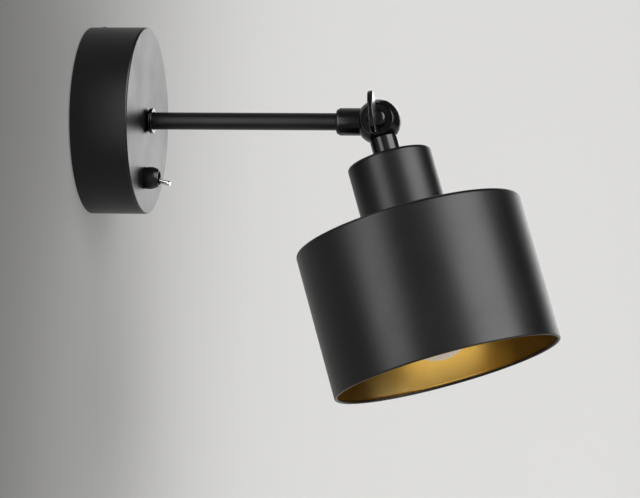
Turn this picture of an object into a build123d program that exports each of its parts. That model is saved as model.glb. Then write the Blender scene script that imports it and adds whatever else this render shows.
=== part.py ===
from build123d import *
import math
import os

# Wall reading lamp with a drum canopy, a straight arm, a clamped ball knuckle and a drum shade.
# Millimetres. The wall is the plane Y = 0, the lamp stands out of it towards -Y, and +Z is up.
# The origin is the centre of the canopy's back face, on the wall.

# --- fits ---------------------------------------------------------------------------------
THREAD_GAP = 0.03      # between a plain-cut male thread and its female thread
PIVOT_GAP = 0.05       # between a turning shaft and its bore
HOLE_GAP = 0.2         # round a part that only passes through a hole

# --- canopy -------------------------------------------------------------------------------
CANOPY_R = 54.2
CANOPY_DEPTH = 33.0
CANOPY_WALL = 1.2
CANOPY_EDGE = 1.4      # outside radius of the pressed front edge

# --- wall bracket -------------------------------------------------------------------------
BRACKET_WIDTH = 18.0
BRACKET_SHEET = 1.5
BRACKET_EAR = 12.0     # how far the bent ears stand out of the wall
BRACKET_FIT = 0.4      # between the ears' corners and the canopy's inside
SLOT_SPACING = 62.0
SLOT_LENGTH = 13.0
SLOT_WIDTH = 4.8
CABLE_HOLE_R = 8.0
EAR_HOLE_OUT = 3.8     # distance of the ears' holes from the wall
TOP_SCREW_R = 1.5      # M3 screw through the canopy's top into the upper ear
TOP_SCREW_LENGTH = 6.0
TOP_SCREW_HEAD_R = 2.7
TOP_SCREW_HEAD = 1.7
EAR_COLLAR_R = 2.7     # pressed collar that is tapped for the screw
EAR_COLLAR_HEIGHT = 1.8
PEG_R = 1.8            # peg inside the canopy's bottom that drops into the lower ear
PEG_LENGTH = 4.2

# --- terminal block and earth -------------------------------------------------------------
BLOCK_POLES = 3
BLOCK_PITCH = 9.5
BLOCK_DEPTH = 12.0
BLOCK_HEIGHT = 13.0
BLOCK_Z = 15.8         # centre above the canopy's centre
BARREL_R = 2.6
BARREL_BORE_R = 1.5
CLAMP_SCREW_R = 1.3
EARTH_X = 4.5
EARTH_Z = -14.5
EARTH_SCREW_R = 2.0
TAG_SHEET = 0.8        # ring tags of the earth wire
TAG_RIM = 2.0          # their rim round the screw or the arm
TAG_TAIL = 5.2
TAG_TAIL_WIDTH = 3.0

# --- arm ----------------------------------------------------------------------------------
TUBE_R = 5.0           # M10 x 1 lamp tube
TUBE_BORE_R = 4.0
TUBE_INNER_END = 20.5  # distance of its inner end from the wall
ARM_REACH = 135.5      # canopy face to the knuckle's centre
NUT_FLATS = 14.0
NUT_HEIGHT = 3.5
TOOTH_WASHER_R = 8.5
TOOTH_WASHER_SHEET = 0.9
TEETH = 12
COLLAR_R = 7.5
COLLAR_LENGTH = 3.4
COLLAR_GROOVE = 0.6

# --- knuckle ------------------------------------------------------------------------------
BALL_R = 13.0
SOCKET_R = 8.0         # the round sockets that hold the arm and the stem
FERRULE_REACH = 24.0   # knuckle centre to the arm socket's open end
FERRULE_CHAMFER = 1.0
TUBE_SEAT = 15.0       # knuckle centre to the shoulder that the tube butts on
STEM_REACH = 22.2      # knuckle centre to the cup's top
NIPPLE_SEAT = 14.0
CAVITY_R = 9.4
CAVITY_HALF = 5.8      # half depth of the wire chamber along the hinge axis
BOSS_R = 4.6
PASSAGE_R = 3.25
FRICTION_SHEET = 0.5   # fibre washer between the two halves
FRICTION_OUTER_R = 12.3
FRICTION_INNER_R = 9.8
BALL_GAP = 0.15        # between one half's ball and the other half's socket
RECESS_R = 9.0
RECESS_FLOOR = 8.0     # its distance from the ball's middle plane
CLAMP_R = 2.5          # M5 clamp screw
CLAMP_END = 9.6        # its tip, past the middle plane
CLAMP_HOLE_END = 10.4
FLAT_WASHER_R = 7.0
FLAT_WASHER_SHEET = 1.0
SPRING_WASHER_R = 4.6
SPRING_WASHER_SHEET = 1.1
HUB_R = 5.8
HUB_HEIGHT = 3.4
WING_THICK = 3.0
WING_SPAN = 24.2
WING_DEEP = 15.6       # the oval plate's other diameter, along the screw
WING_REACH = 35.8      # its outermost point, from the ball's middle plane
WING_NECK = 9.0
WING_TURN = 6.0        # degrees from upright, as photographed

# --- head: cup, lampholder, shade ---------------------------------------------------------
HEAD_TILT = 17.3       # degrees from hanging straight down, mouth away from the wall
CUP_R = 24.6
CUP_HEIGHT = 41.1
CUP_WALL = 1.1
CUP_EDGE = 2.2
SHADE_R = 66.0
SHADE_HEIGHT = 85.7
SHADE_WALL = 1.0
SHADE_EDGE = 2.2
SHADE_HEM_R = 0.9      # rolled edge round the mouth
SLEEVE_R = 19.8        # E27 lampholder, threaded outside for the shade ring
SLEEVE_WALL = 2.4
SLEEVE_TOP = 54.0      # from the knuckle's centre along the head's axis, as the next ones
SLEEVE_MOUTH = 94.0
THREAD_PITCH = 3.0
THREAD_DEPTH = 0.7
THREAD_TURNS = 7
CAP_TOP = 28.2
CAP_NECK_R = 8.2
CAP_NECK_LENGTH = 9.0
CAP_R = 22.0
CAP_SKIRT = 9.0
CAP_WALL = 2.0
INSERT_R = 17.2
INSERT_TOP = 56.0
INSERT_HEIGHT = 8.0
SHELL_WALL = 0.5       # brass screw shell of the lampholder
SHELL_LENGTH = 22.0
RING_R = 26.0
RING_HEIGHT = 7.0
RING_NOTCHES = 12
NIPPLE_LENGTH = 21.0
TERMINAL_X = 9.5
TERMINAL_SCREW_R = 1.6

# --- bulb: 45 mm frosted globe with an E27 cap --------------------------------------------
BULB_R = 22.5
BULB_TIP = 142.5       # from the knuckle's centre along the head's axis
BULB_LENGTH = 75.9
BULB_GLASS = 0.9
BULB_CAP_R = 13.1
BULB_CAP_ROOT_R = 12.3
BULB_CAP_LENGTH = 22.5
BULB_CAP_SHEET = 0.4
BULB_NECK_R = 11.6
BULB_TURNS = 5
INSULATOR_HEIGHT = 3.2
CONTACT_R = 4.6
CONTACT_HEIGHT = 0.9
MOUNT_R = 3.0
FILAMENTS = 4
FILAMENT_R = 0.75
FILAMENT_LENGTH = 24.0

# --- toggle switch ------------------------------------------------------------------------
SWITCH_INSET = 20.4    # its axis, in from the canopy's lowest edge
BUSH_R = 3.0           # M6 bush
BUSH_BORE_R = 2.25
BUSH_LENGTH = 7.3
SWITCH_WIDE = 8.0
SWITCH_TALL = 13.0
SWITCH_DEEP = 9.5
SWITCH_NUT_FLATS = 8.0
SWITCH_NUT_HEIGHT = 2.0
SWITCH_WASHER_SHEET = 0.5
SWITCH_WASHER_R = 5.0
DRESS_R = 6.4          # black plastic dress nut over the bush
DRESS_LENGTH = 8.3
DRESS_STRAIGHT = 3.7
DRESS_FRONT_R = 4.6
DRESS_MOUTH_R = 3.9
DRESS_THREAD = 4.0
LEVER_ANGLE = 15.0     # degrees below the switch's axis, as photographed
LEVER_PIVOT_IN = 5.8   # behind the dress nut's front
LEVER_LENGTH = 13.0
LEVER_ROOT_R = 1.3
LEVER_TIP_R = 1.5
LEVER_BALL_R = BUSH_BORE_R - PIVOT_GAP
LEVER_TAIL = 3.1
LEVER_TAIL_R = 0.8
TAG_LENGTH = 5.0
TAG_WIDTH = 2.0
TAG_SPACING = 4.7

# --- wires --------------------------------------------------------------------------------
WIRE_R = 0.95
WIRE_BEND = 5.0
WIRE_LANE = 1.6        # the wires run this far beside the axis of the arm and of the stem
WIRE_PITCH = 2.3       # between the two wires in the arm and in the stem
WIRE_TURN = 13.0       # distance from the wall where a wire turns into the arm
WIRE_STOP = 8.2        # the wires stop this far from the knuckle's centre, in its chamber
WIRE_POCKET_Y = 5.4
WIRE_POCKET_DEPTH = 1.5

# --- places worked out from the sizes above -----------------------------------------------
FACE_INSIDE = CANOPY_DEPTH - CANOPY_WALL
SWITCH_DROP = CANOPY_R - SWITCH_INSET
BALL = (0, -(CANOPY_DEPTH + ARM_REACH), 0)
WALL_SIDE = Location((0, 0, 0), (90, 0, 0))              # local Z leads out of the wall
ARM_SIDE = Location(BALL, (-90, 0, 0))                   # local Z leads from knuckle to wall
HEAD = Location(BALL, (180 - HEAD_TILT, 0, 0))           # local Z leads down the head's axis
HINGE = Location(BALL, (0, -90, 0))                      # local Z leads out of the wing side
SWITCH = Location((0, 0, -SWITCH_DROP), (90, 0, 0))      # local Z leads out of the wall
TOP_EAR = Location((0, -EAR_HOLE_OUT, 0))                # local Z leads up through the upper ear
BOTTOM_EAR = Location((0, -EAR_HOLE_OUT, 0), (0, 180, 0))    # local Z leads down

HALF_GAP = FRICTION_SHEET / 2
CUP_BOTTOM = STEM_REACH + CUP_HEIGHT
SHADE_BOTTOM = CUP_BOTTOM + SHADE_HEIGHT
HUB_SEAT = RECESS_FLOOR + FLAT_WASHER_SHEET + SPRING_WASHER_SHEET
EAR_OUTSIDE = math.sqrt((CANOPY_R - CANOPY_WALL - BRACKET_FIT) ** 2 - (BRACKET_WIDTH / 2) ** 2)
CONTACT_TIP = BULB_TIP - BULB_LENGTH
CAP_RIM = CONTACT_TIP + CONTACT_HEIGHT + INSULATOR_HEIGHT + BULB_CAP_LENGTH
SHELL_R = BULB_CAP_R + HOLE_GAP
SHELL_TOP = INSERT_TOP + INSERT_HEIGHT
DRESS_FRONT = CANOPY_DEPTH + DRESS_LENGTH
LEVER_PIVOT = DRESS_FRONT - LEVER_PIVOT_IN
BUSH_INNER = FACE_INSIDE - SWITCH_WASHER_SHEET - SWITCH_NUT_HEIGHT - 0.4


# --- shapes used more than once -----------------------------------------------------------
def turned(*corners):
    """A solid of revolution about local Z, from (radius, height) corners."""
    outline = Polyline(*[(radius, 0, height) for radius, height in corners], close=True)
    return revolve(make_face(outline), Axis.Z)


def ring(outer, inner, low, high):
    """A washer, sleeve or plain tube between two heights."""
    return turned((inner, low), (outer, low), (outer, high), (inner, high))


def rod(radius, low, high):
    return turned((0, low), (radius, low), (radius, high), (0, high))


def hex_nut(flats, bore, low, high):
    """A hexagon nut with both faces chamfered at the corners."""
    outline = RegularPolygon(radius=flats / 2, side_count=6, major_radius=False)
    body = Pos(0, 0, low) * extrude(outline - Circle(bore), high - low)
    corner = flats / 2 / math.cos(math.pi / 6)
    drop = (corner - flats / 2) * math.tan(math.radians(30))
    bite = flats / 2
    cone = turned((0, low), (bite, low), (corner, low + drop), (corner, high - drop), (bite, high), (0, high))
    return body & cone


def tooth_washer(outer, inner, low, high, teeth):
    """A shakeproof washer: a thin ring with notches all round its edge."""
    notch_depth = (outer - inner) * 0.35
    notch_width = math.pi * outer / teeth * 0.9
    body = ring(outer, inner, low, high)
    for step in range(teeth):
        notch = Box(notch_depth * 2, notch_width, (high - low) * 3)
        body -= Rot(0, 0, 360 / teeth * step) * Pos(outer, 0, (low + high) / 2) * notch
    return body


def ball_slice(radius, low, high):
    """The part of a ball between two X planes."""
    between = Pos(0, 0, (low + high) / 2) * Cylinder(2 * radius, high - low)
    return Rot(0, 90, 0) * (Sphere(radius) & between)


def wire(*points, bend=WIRE_BEND):
    """A round wire along straight runs joined by arcs."""
    path = FilletPolyline(*points, radius=bend)
    section = Plane(origin=path @ 0, z_dir=path % 0) * Circle(WIRE_R)
    return sweep(section, path=path)


def screw(radius, length, head_r, head_height, slot):
    """A slotted cheese-head screw: its head's underside at Z = 0, its shank along -Z."""
    body = rod(head_r, 0, head_height) + rod(radius, -length, 0)
    return body - Pos(0, 0, head_height) * Box(head_r * 3, slot, head_height)


# --- wall side ----------------------------------------------------------------------------
def canopy_cover():
    """Pressed steel drum, open towards the wall."""
    drum = rod(CANOPY_R, 0, CANOPY_DEPTH)
    front_edge = drum.edges().filter_by(GeomType.CIRCLE).sort_by(Axis.Z)[-1]
    drum = fillet(front_edge, CANOPY_EDGE)
    hollow = rod(CANOPY_R - CANOPY_WALL, -1, FACE_INSIDE)
    inner_edge = hollow.edges().filter_by(GeomType.CIRCLE).sort_by(Axis.Z)[-1]
    drum -= fillet(inner_edge, max(CANOPY_EDGE - CANOPY_WALL, 0.2))
    drum -= rod(TUBE_R + HOLE_GAP, FACE_INSIDE - 1, CANOPY_DEPTH + 1)
    drum -= Pos(0, -SWITCH_DROP, 0) * rod(BUSH_R + HOLE_GAP, FACE_INSIDE - 1, CANOPY_DEPTH + 1)
    return WALL_SIDE * drum - TOP_EAR * rod(TOP_SCREW_R + HOLE_GAP, 0, 2 * CANOPY_R)


def wall_bracket():
    """Steel strip with two bent ears, two slots for wall screws and a cable hole."""
    strip = Pos(0, 0, BRACKET_SHEET / 2) * Box(BRACKET_WIDTH, 2 * EAR_OUTSIDE, BRACKET_SHEET)
    for side in (1, -1):
        ear_y = side * (EAR_OUTSIDE - BRACKET_SHEET / 2)
        strip += Pos(0, ear_y, BRACKET_EAR / 2) * Box(BRACKET_WIDTH, BRACKET_SHEET, BRACKET_EAR)
    bends = strip.edges().filter_by(Axis.X).group_by(Axis.Z)[0]
    strip = fillet(bends, BRACKET_SHEET * 0.6)
    for side in (1, -1):
        slot = extrude(SlotOverall(SLOT_LENGTH, SLOT_WIDTH, rotation=90), 3 * BRACKET_SHEET)
        strip -= Pos(0, side * SLOT_SPACING / 2, -BRACKET_SHEET) * slot
    strip -= rod(CABLE_HOLE_R, -1, BRACKET_SHEET + 1)
    strip -= Pos(EARTH_X, EARTH_Z, 0) * rod(EARTH_SCREW_R + THREAD_GAP, -1, BRACKET_SHEET + 1)
    strip = WALL_SIDE * strip
    inside = EAR_OUTSIDE - BRACKET_SHEET
    strip += TOP_EAR * rod(EAR_COLLAR_R, inside - EAR_COLLAR_HEIGHT, inside)
    strip -= TOP_EAR * rod(TOP_SCREW_R + THREAD_GAP, inside - EAR_COLLAR_HEIGHT - 1, EAR_OUTSIDE + 1)
    return strip - BOTTOM_EAR * rod(PEG_R + HOLE_GAP, inside - 1, EAR_OUTSIDE + 1)


def canopy_screw():
    """Slotted round-head screw that locks the canopy on the bracket's upper ear."""
    top = CANOPY_R + TOP_SCREW_HEAD
    rim = CANOPY_R + TOP_SCREW_HEAD * 0.45
    head = turned((0, CANOPY_R), (TOP_SCREW_HEAD_R, CANOPY_R), (TOP_SCREW_HEAD_R, rim),
                  (TOP_SCREW_HEAD_R * 0.6, top), (0, top))
    head += rod(TOP_SCREW_R, CANOPY_R - TOP_SCREW_LENGTH, CANOPY_R)
    slot = Pos(0, 0, top) * Box(3 * TOP_SCREW_HEAD_R, 0.7, TOP_SCREW_HEAD)
    return TOP_EAR * (head - slot)


def canopy_peg():
    """Peg welded inside the canopy's bottom, which hooks over the lower ear."""
    inside = CANOPY_R - CANOPY_WALL
    peg = BOTTOM_EAR * rod(PEG_R, inside - PEG_LENGTH, inside + 1)
    return peg & (WALL_SIDE * rod(inside, 0, CANOPY_DEPTH))


def block_poles():
    """X positions of the terminal block's poles."""
    return [BLOCK_PITCH * (pole - (BLOCK_POLES - 1) / 2) for pole in range(BLOCK_POLES)]


def terminal_block():
    """Nylon three-pole block with a wire tunnel and two screw wells at each pole."""
    length = BLOCK_PITCH * BLOCK_POLES
    body = Pos(0, BLOCK_Z, BRACKET_SHEET + BLOCK_HEIGHT / 2) * Box(length, BLOCK_DEPTH, BLOCK_HEIGHT)
    body = fillet(body.edges().filter_by(Axis.Z), 0.8)
    mid_height = BRACKET_SHEET + BLOCK_HEIGHT / 2
    for x in block_poles():
        body -= Pos(x, BLOCK_Z, mid_height) * Rot(90, 0, 0) * Cylinder(BARREL_R, BLOCK_DEPTH + 2)
        for side in (1, -1):
            well = rod(CLAMP_SCREW_R + HOLE_GAP, mid_height, BRACKET_SHEET + BLOCK_HEIGHT + 1)
            body -= Pos(x, BLOCK_Z + side * BLOCK_DEPTH / 4, 0) * well
    for x in block_poles()[:-1]:
        gap = Box(1.2, BLOCK_DEPTH + 2, BLOCK_HEIGHT / 3)
        body -= Pos(x + BLOCK_PITCH / 2, BLOCK_Z, BRACKET_SHEET + BLOCK_HEIGHT) * gap
    return WALL_SIDE * body


def terminal_barrels():
    """Brass barrels inside the block, one at each pole."""
    barrels = []
    mid_height = BRACKET_SHEET + BLOCK_HEIGHT / 2
    length = BLOCK_DEPTH - 1.0
    for x in block_poles():
        barrel = Cylinder(BARREL_R - THREAD_GAP, length) - Cylinder(BARREL_BORE_R, length + 2)
        placed = Pos(x, BLOCK_Z, mid_height) * Rot(90, 0, 0) * barrel
        for side in (1, -1):
            hole = rod(CLAMP_SCREW_R + THREAD_GAP, mid_height, BRACKET_SHEET + BLOCK_HEIGHT)
            placed -= Pos(x, BLOCK_Z + side * BLOCK_DEPTH / 4, 0) * hole
        barrels.append(WALL_SIDE * placed)
    return Compound(barrels)


def terminal_screws():
    """The block's clamp screws, two at each pole."""
    foot = BRACKET_SHEET + BLOCK_HEIGHT / 2 + 1.6
    top = BRACKET_SHEET + BLOCK_HEIGHT - 1.0
    screws = []
    for x in block_poles():
        for side in (1, -1):
            body = rod(CLAMP_SCREW_R, foot, top) - Pos(0, 0, top) * Box(3 * CLAMP_SCREW_R, 0.5, 1.2)
            screws.append(WALL_SIDE * Pos(x, BLOCK_Z + side * BLOCK_DEPTH / 4, 0) * body)
    return Compound(screws)


def earth_screw():
    """M4 earth screw in the bracket, with its head on the wire's ring tag."""
    seat = BRACKET_SHEET + TAG_SHEET
    body = screw(EARTH_SCREW_R, seat, 3.6, 2.4, 0.9)
    return WALL_SIDE * Pos(EARTH_X, EARTH_Z, seat) * body


def earth_tags():
    """Ring tags at the two ends of the earth wire: one on the bracket, one under the arm's nut."""
    pieces = []
    nut_inside = FACE_INSIDE - TOOTH_WASHER_SHEET - NUT_HEIGHT
    on_bracket = (EARTH_X, EARTH_Z, EARTH_SCREW_R, BRACKET_SHEET)
    on_arm = (0, 0, TUBE_R, nut_inside - TAG_SHEET)
    for x, z, bore, low in (on_bracket, on_arm):
        rim = bore + HOLE_GAP + TAG_RIM
        tag = ring(rim, bore + HOLE_GAP, low, low + TAG_SHEET)
        tail = Box(TAG_TAIL, TAG_TAIL_WIDTH, TAG_SHEET)
        tag += Pos(rim + TAG_TAIL / 2 - TAG_RIM / 2, 0, low + TAG_SHEET / 2) * tail
        pieces.append(WALL_SIDE * Pos(x, z, 0) * tag)
    return Compound(pieces)


# --- arm ----------------------------------------------------------------------------------
def arm_tube():
    """Straight steel tube from inside the canopy to the knuckle."""
    outer_end = CANOPY_DEPTH + ARM_REACH - TUBE_SEAT
    return WALL_SIDE * ring(TUBE_R, TUBE_BORE_R, TUBE_INNER_END, outer_end)


def arm_collar():
    """Nut with a flared neck and a grooved rim, which closes the hole in the canopy's face."""
    bore = TUBE_R + THREAD_GAP
    base = CANOPY_DEPTH
    top = base + COLLAR_LENGTH
    return WALL_SIDE * turned(
        (bore, base), (COLLAR_R - 1.5, base), (COLLAR_R - 0.4, top - 2.0), (COLLAR_R, top - 1.7),
        (COLLAR_R, top - 1.4), (COLLAR_R - COLLAR_GROOVE, top - 1.0), (COLLAR_R, top - 0.6),
        (COLLAR_R, top - 0.3), (COLLAR_R - 0.4, top), (bore + 0.5, top), (bore, top - 0.5))


def arm_tooth_washer():
    low = FACE_INSIDE - TOOTH_WASHER_SHEET
    return WALL_SIDE * tooth_washer(TOOTH_WASHER_R, TUBE_R + HOLE_GAP, low, FACE_INSIDE, TEETH)


def arm_lock_nut():
    high = FACE_INSIDE - TOOTH_WASHER_SHEET
    return WALL_SIDE * hex_nut(NUT_FLATS, TUBE_R + THREAD_GAP, high - NUT_HEIGHT, high)


# --- knuckle ------------------------------------------------------------------------------
def knuckle_half(side, frame, reach, seat, bore, chamfer):
    """One half of the ball with its round socket along the frame's Z.

    side is 1 for the half at +X and -1 for the half at -X. The socket is a full cylinder outside
    the ball, and the other half's ball turns in its hollow end.
    """
    near = side * HALF_GAP
    far = side * 2 * BALL_R
    socket = turned((0, 0), (SOCKET_R, 0), (SOCKET_R, reach - 2 * chamfer),
                    (SOCKET_R - chamfer, reach), (0, reach))
    socket -= ball_slice(BALL_R + BALL_GAP, min(near, -far), max(near, -far))
    body = ball_slice(BALL_R, min(near, far), max(near, far)) + socket
    boss = Rot(0, 90, 0) * Cylinder(BOSS_R, 4 * BALL_R)
    deep = side * CAVITY_HALF
    body -= ball_slice(CAVITY_R, min(near, deep), max(near, deep)) - boss
    body -= rod(bore, seat, reach + 1)
    body -= rod(PASSAGE_R, CAVITY_R * 0.8, seat + 1) - boss
    return frame * body


def knuckle_arm_half():
    """Far half of the ball: holds the arm, and its boss is tapped for the clamp screw."""
    body = knuckle_half(1, ARM_SIDE, FERRULE_REACH, TUBE_SEAT, TUBE_R + THREAD_GAP, FERRULE_CHAMFER)
    return body - HINGE * rod(CLAMP_R + THREAD_GAP, -CLAMP_HOLE_END, 0)


def knuckle_head_half():
    """Near half of the ball with the stem: it turns on the clamp screw's shank."""
    body = knuckle_half(-1, HEAD, STEM_REACH, NIPPLE_SEAT, TUBE_R + THREAD_GAP, 0.4)
    body -= HINGE * rod(RECESS_R, RECESS_FLOOR, 2 * BALL_R)
    return body - HINGE * rod(CLAMP_R + PIVOT_GAP, 0, RECESS_FLOOR + 1)


def friction_washer():
    return HINGE * ring(FRICTION_OUTER_R, FRICTION_INNER_R, -HALF_GAP, HALF_GAP)


def knuckle_flat_washer():
    high = RECESS_FLOOR + FLAT_WASHER_SHEET
    body = ring(FLAT_WASHER_R, CLAMP_R + HOLE_GAP, RECESS_FLOOR, high)
    return HINGE * body


def knuckle_spring_washer():
    """Split spring washer, drawn flat as it is when clamped."""
    low = RECESS_FLOOR + FLAT_WASHER_SHEET
    body = ring(SPRING_WASHER_R, CLAMP_R + HOLE_GAP, low, HUB_SEAT)
    split = Pos(0, SPRING_WASHER_R, low) * Rot(0, 30, 0) * Box(0.8, SPRING_WASHER_R, 6 * SPRING_WASHER_SHEET)
    return HINGE * (body - split)


def wing_screw():
    """M5 clamp screw with a domed hub and a flat oval thumb plate."""
    hub_top = HUB_SEAT + HUB_HEIGHT
    dome = rod(HUB_R, HUB_SEAT, hub_top)
    dome = fillet(dome.edges().filter_by(GeomType.CIRCLE).sort_by(Axis.Z)[-1], HUB_HEIGHT * 0.7)
    shank = rod(CLAMP_R, -CLAMP_END, HUB_SEAT)
    middle = WING_REACH - WING_DEEP / 2
    neck = Polyline((-WING_NECK / 2, hub_top - 1.0), (WING_NECK / 2, hub_top - 1.0),
                    (WING_SPAN * 0.38, middle), (-WING_SPAN * 0.38, middle), close=True)
    outline = Pos(0, middle) * Ellipse(WING_SPAN / 2, WING_DEEP / 2) + make_face(neck)
    plate = extrude(outline, WING_THICK / 2, both=True)
    rim = plate.edges().filter_by(lambda edge: abs(abs(edge.center().Z) - WING_THICK / 2) < 0.01)
    plate = fillet(rim, WING_THICK * 0.3)
    upright = Rot(0, 0, WING_TURN) * Rot(90, 0, 0) * plate
    return HINGE * (dome + shank + upright)


# --- head ---------------------------------------------------------------------------------
def stem_nipple():
    """Hollow M10 x 1 thread from the stem through the cup into the lampholder's cap."""
    return HEAD * ring(TUBE_R, TUBE_BORE_R, NIPPLE_SEAT, NIPPLE_SEAT + NIPPLE_LENGTH)


def lamp_cup():
    """Spun cup over the lampholder, open below."""
    drum = rod(CUP_R, STEM_REACH, CUP_BOTTOM)
    drum = fillet(drum.edges().filter_by(GeomType.CIRCLE).sort_by(Axis.Z)[0], CUP_EDGE)
    hollow = rod(CUP_R - CUP_WALL, STEM_REACH + CUP_WALL, CUP_BOTTOM + 1)
    hollow = fillet(hollow.edges().filter_by(GeomType.CIRCLE).sort_by(Axis.Z)[0], CUP_EDGE - CUP_WALL)
    drum -= hollow
    return HEAD * (drum - rod(TUBE_R + HOLE_GAP, STEM_REACH - 1, STEM_REACH + CUP_WALL + 1))


def cup_tooth_washer():
    low = STEM_REACH + CUP_WALL
    return HEAD * tooth_washer(TOOTH_WASHER_R, TUBE_R + HOLE_GAP, low, low + TOOTH_WASHER_SHEET, TEETH)


def cup_lock_nut():
    low = STEM_REACH + CUP_WALL + TOOTH_WASHER_SHEET
    return HEAD * hex_nut(NUT_FLATS, TUBE_R + THREAD_GAP, low, low + NUT_HEIGHT - 0.5)


def shade():
    """Spun steel drum, open below, with a rolled edge round its mouth."""
    drum = rod(SHADE_R, CUP_BOTTOM, SHADE_BOTTOM)
    drum = fillet(drum.edges().filter_by(GeomType.CIRCLE).sort_by(Axis.Z)[0], SHADE_EDGE)
    hollow = rod(SHADE_R - SHADE_WALL, CUP_BOTTOM + SHADE_WALL, SHADE_BOTTOM + 1)
    hollow = fillet(hollow.edges().filter_by(GeomType.CIRCLE).sort_by(Axis.Z)[0], SHADE_EDGE - SHADE_WALL)
    drum -= hollow
    hem = Pos(SHADE_R - SHADE_HEM_R, 0, SHADE_BOTTOM - SHADE_HEM_R) * Rot(90, 0, 0) * Circle(SHADE_HEM_R)
    drum -= ring(SHADE_R + 1, SHADE_R - SHADE_HEM_R, SHADE_BOTTOM - SHADE_HEM_R, SHADE_BOTTOM + 1)
    drum += revolve(hem, Axis.Z)
    return HEAD * (drum - rod(SLEEVE_R + HOLE_GAP, CUP_BOTTOM - 1, CUP_BOTTOM + SHADE_WALL + 1))


def shade_ring():
    """Notched ring nut that clamps shade and cup on the lampholder's sleeve."""
    low = CUP_BOTTOM + SHADE_WALL
    high = low + RING_HEIGHT
    flange = low + 2.2
    inner = SLEEVE_R + THREAD_GAP
    body = turned((inner, low), (RING_R, low), (RING_R, flange), (RING_R - 2.6, flange),
                  (RING_R - 3.0, high), (inner, high))
    for step in range(RING_NOTCHES):
        notch = Pos(RING_R, 0, low) * Cylinder(1.5, 3 * RING_HEIGHT)
        body -= Rot(0, 0, 360 / RING_NOTCHES * step) * notch
    return HEAD * body


def holder_cap():
    """Upper shell of the lampholder, screwed on the nipple."""
    neck_end = CAP_TOP + CAP_NECK_LENGTH
    shoulder = neck_end + (CAP_R - CAP_NECK_R) * 0.55
    skirt_end = shoulder + CAP_SKIRT
    thread_end = NIPPLE_SEAT + NIPPLE_LENGTH + 0.2
    return HEAD * turned(
        (TUBE_R + THREAD_GAP, CAP_TOP), (CAP_NECK_R, CAP_TOP), (CAP_NECK_R, neck_end), (CAP_R, shoulder),
        (CAP_R, skirt_end), (CAP_R - CAP_WALL, skirt_end), (CAP_R - CAP_WALL, shoulder + 0.8),
        (CAP_NECK_R - CAP_WALL, neck_end + 1.0), (CAP_NECK_R - CAP_WALL, thread_end),
        (TUBE_R + THREAD_GAP, thread_end))


def holder_sleeve():
    """Outer sleeve of the lampholder, with a coarse thread for the shade ring."""
    corners = [(SLEEVE_R - SLEEVE_WALL, SLEEVE_TOP), (CAP_R - CAP_WALL - THREAD_GAP, SLEEVE_TOP)]
    cap_skirt_end = CAP_TOP + CAP_NECK_LENGTH + (CAP_R - CAP_NECK_R) * 0.55 + CAP_SKIRT
    corners += [(CAP_R - CAP_WALL - THREAD_GAP, cap_skirt_end), (SLEEVE_R, cap_skirt_end)]
    start = SLEEVE_MOUTH - 1.0 - THREAD_TURNS * THREAD_PITCH
    for turn in range(THREAD_TURNS):
        low = start + turn * THREAD_PITCH
        corners += [(SLEEVE_R, low), (SLEEVE_R - THREAD_DEPTH, low + THREAD_PITCH * 0.3),
                    (SLEEVE_R - THREAD_DEPTH, low + THREAD_PITCH * 0.5), (SLEEVE_R, low + THREAD_PITCH * 0.8)]
    corners += [(SLEEVE_R, SLEEVE_MOUTH - 0.6), (SLEEVE_R - 0.6, SLEEVE_MOUTH)]
    corners += [(SLEEVE_R - SLEEVE_WALL, SLEEVE_MOUTH)]
    return HEAD * turned(*corners)


def holder_insert():
    """Ceramic insert that carries the contacts, inside the sleeve."""
    body = rod(INSERT_R, INSERT_TOP, SHELL_TOP)
    for side in (1, -1):
        hole = rod(TERMINAL_SCREW_R + THREAD_GAP, INSERT_TOP - 1, INSERT_TOP + 5)
        body -= Pos(side * TERMINAL_X, 0, 0) * hole
        pocket = Box(4 * WIRE_R, 4 * WIRE_R, 2 * WIRE_POCKET_DEPTH)
        body -= Pos(side * TERMINAL_X, WIRE_POCKET_Y, INSERT_TOP) * pocket
    return HEAD * body


def holder_terminal_screws():
    """The lampholder's two wire clamp screws."""
    screws = []
    for side in (1, -1):
        body = Rot(180, 0, 0) * screw(TERMINAL_SCREW_R, 4.5, 3.0, 1.8, 0.7)
        screws.append(HEAD * Pos(side * TERMINAL_X, 0, INSERT_TOP) * body)
    return Compound(screws)


def holder_screw_shell():
    """Brass shell that the bulb's cap screws into."""
    high = SHELL_TOP + SHELL_LENGTH
    floor = SHELL_TOP + SHELL_WALL
    hole = CONTACT_R + 3.0
    body = turned((hole, SHELL_TOP), (INSERT_R, SHELL_TOP), (INSERT_R, floor), (SHELL_R + SHELL_WALL, floor),
                  (SHELL_R + SHELL_WALL, high), (SHELL_R, high), (SHELL_R, floor), (hole, floor))
    return HEAD * body


def holder_centre_contact():
    """Bent brass strip that presses on the bulb's tip."""
    strip = Polyline((-6.0, 0, SHELL_TOP), (2.7, 0, SHELL_TOP), (3.6, 0, CONTACT_TIP),
                     (-3.0, 0, CONTACT_TIP), (-3.0, 0, CONTACT_TIP - 0.5), (3.0, 0, CONTACT_TIP - 0.5),
                     (2.2, 0, SHELL_TOP + 0.5), (-6.0, 0, SHELL_TOP + 0.5), close=True)
    return HEAD * extrude(make_face(strip), 2.2, both=True)


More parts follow.
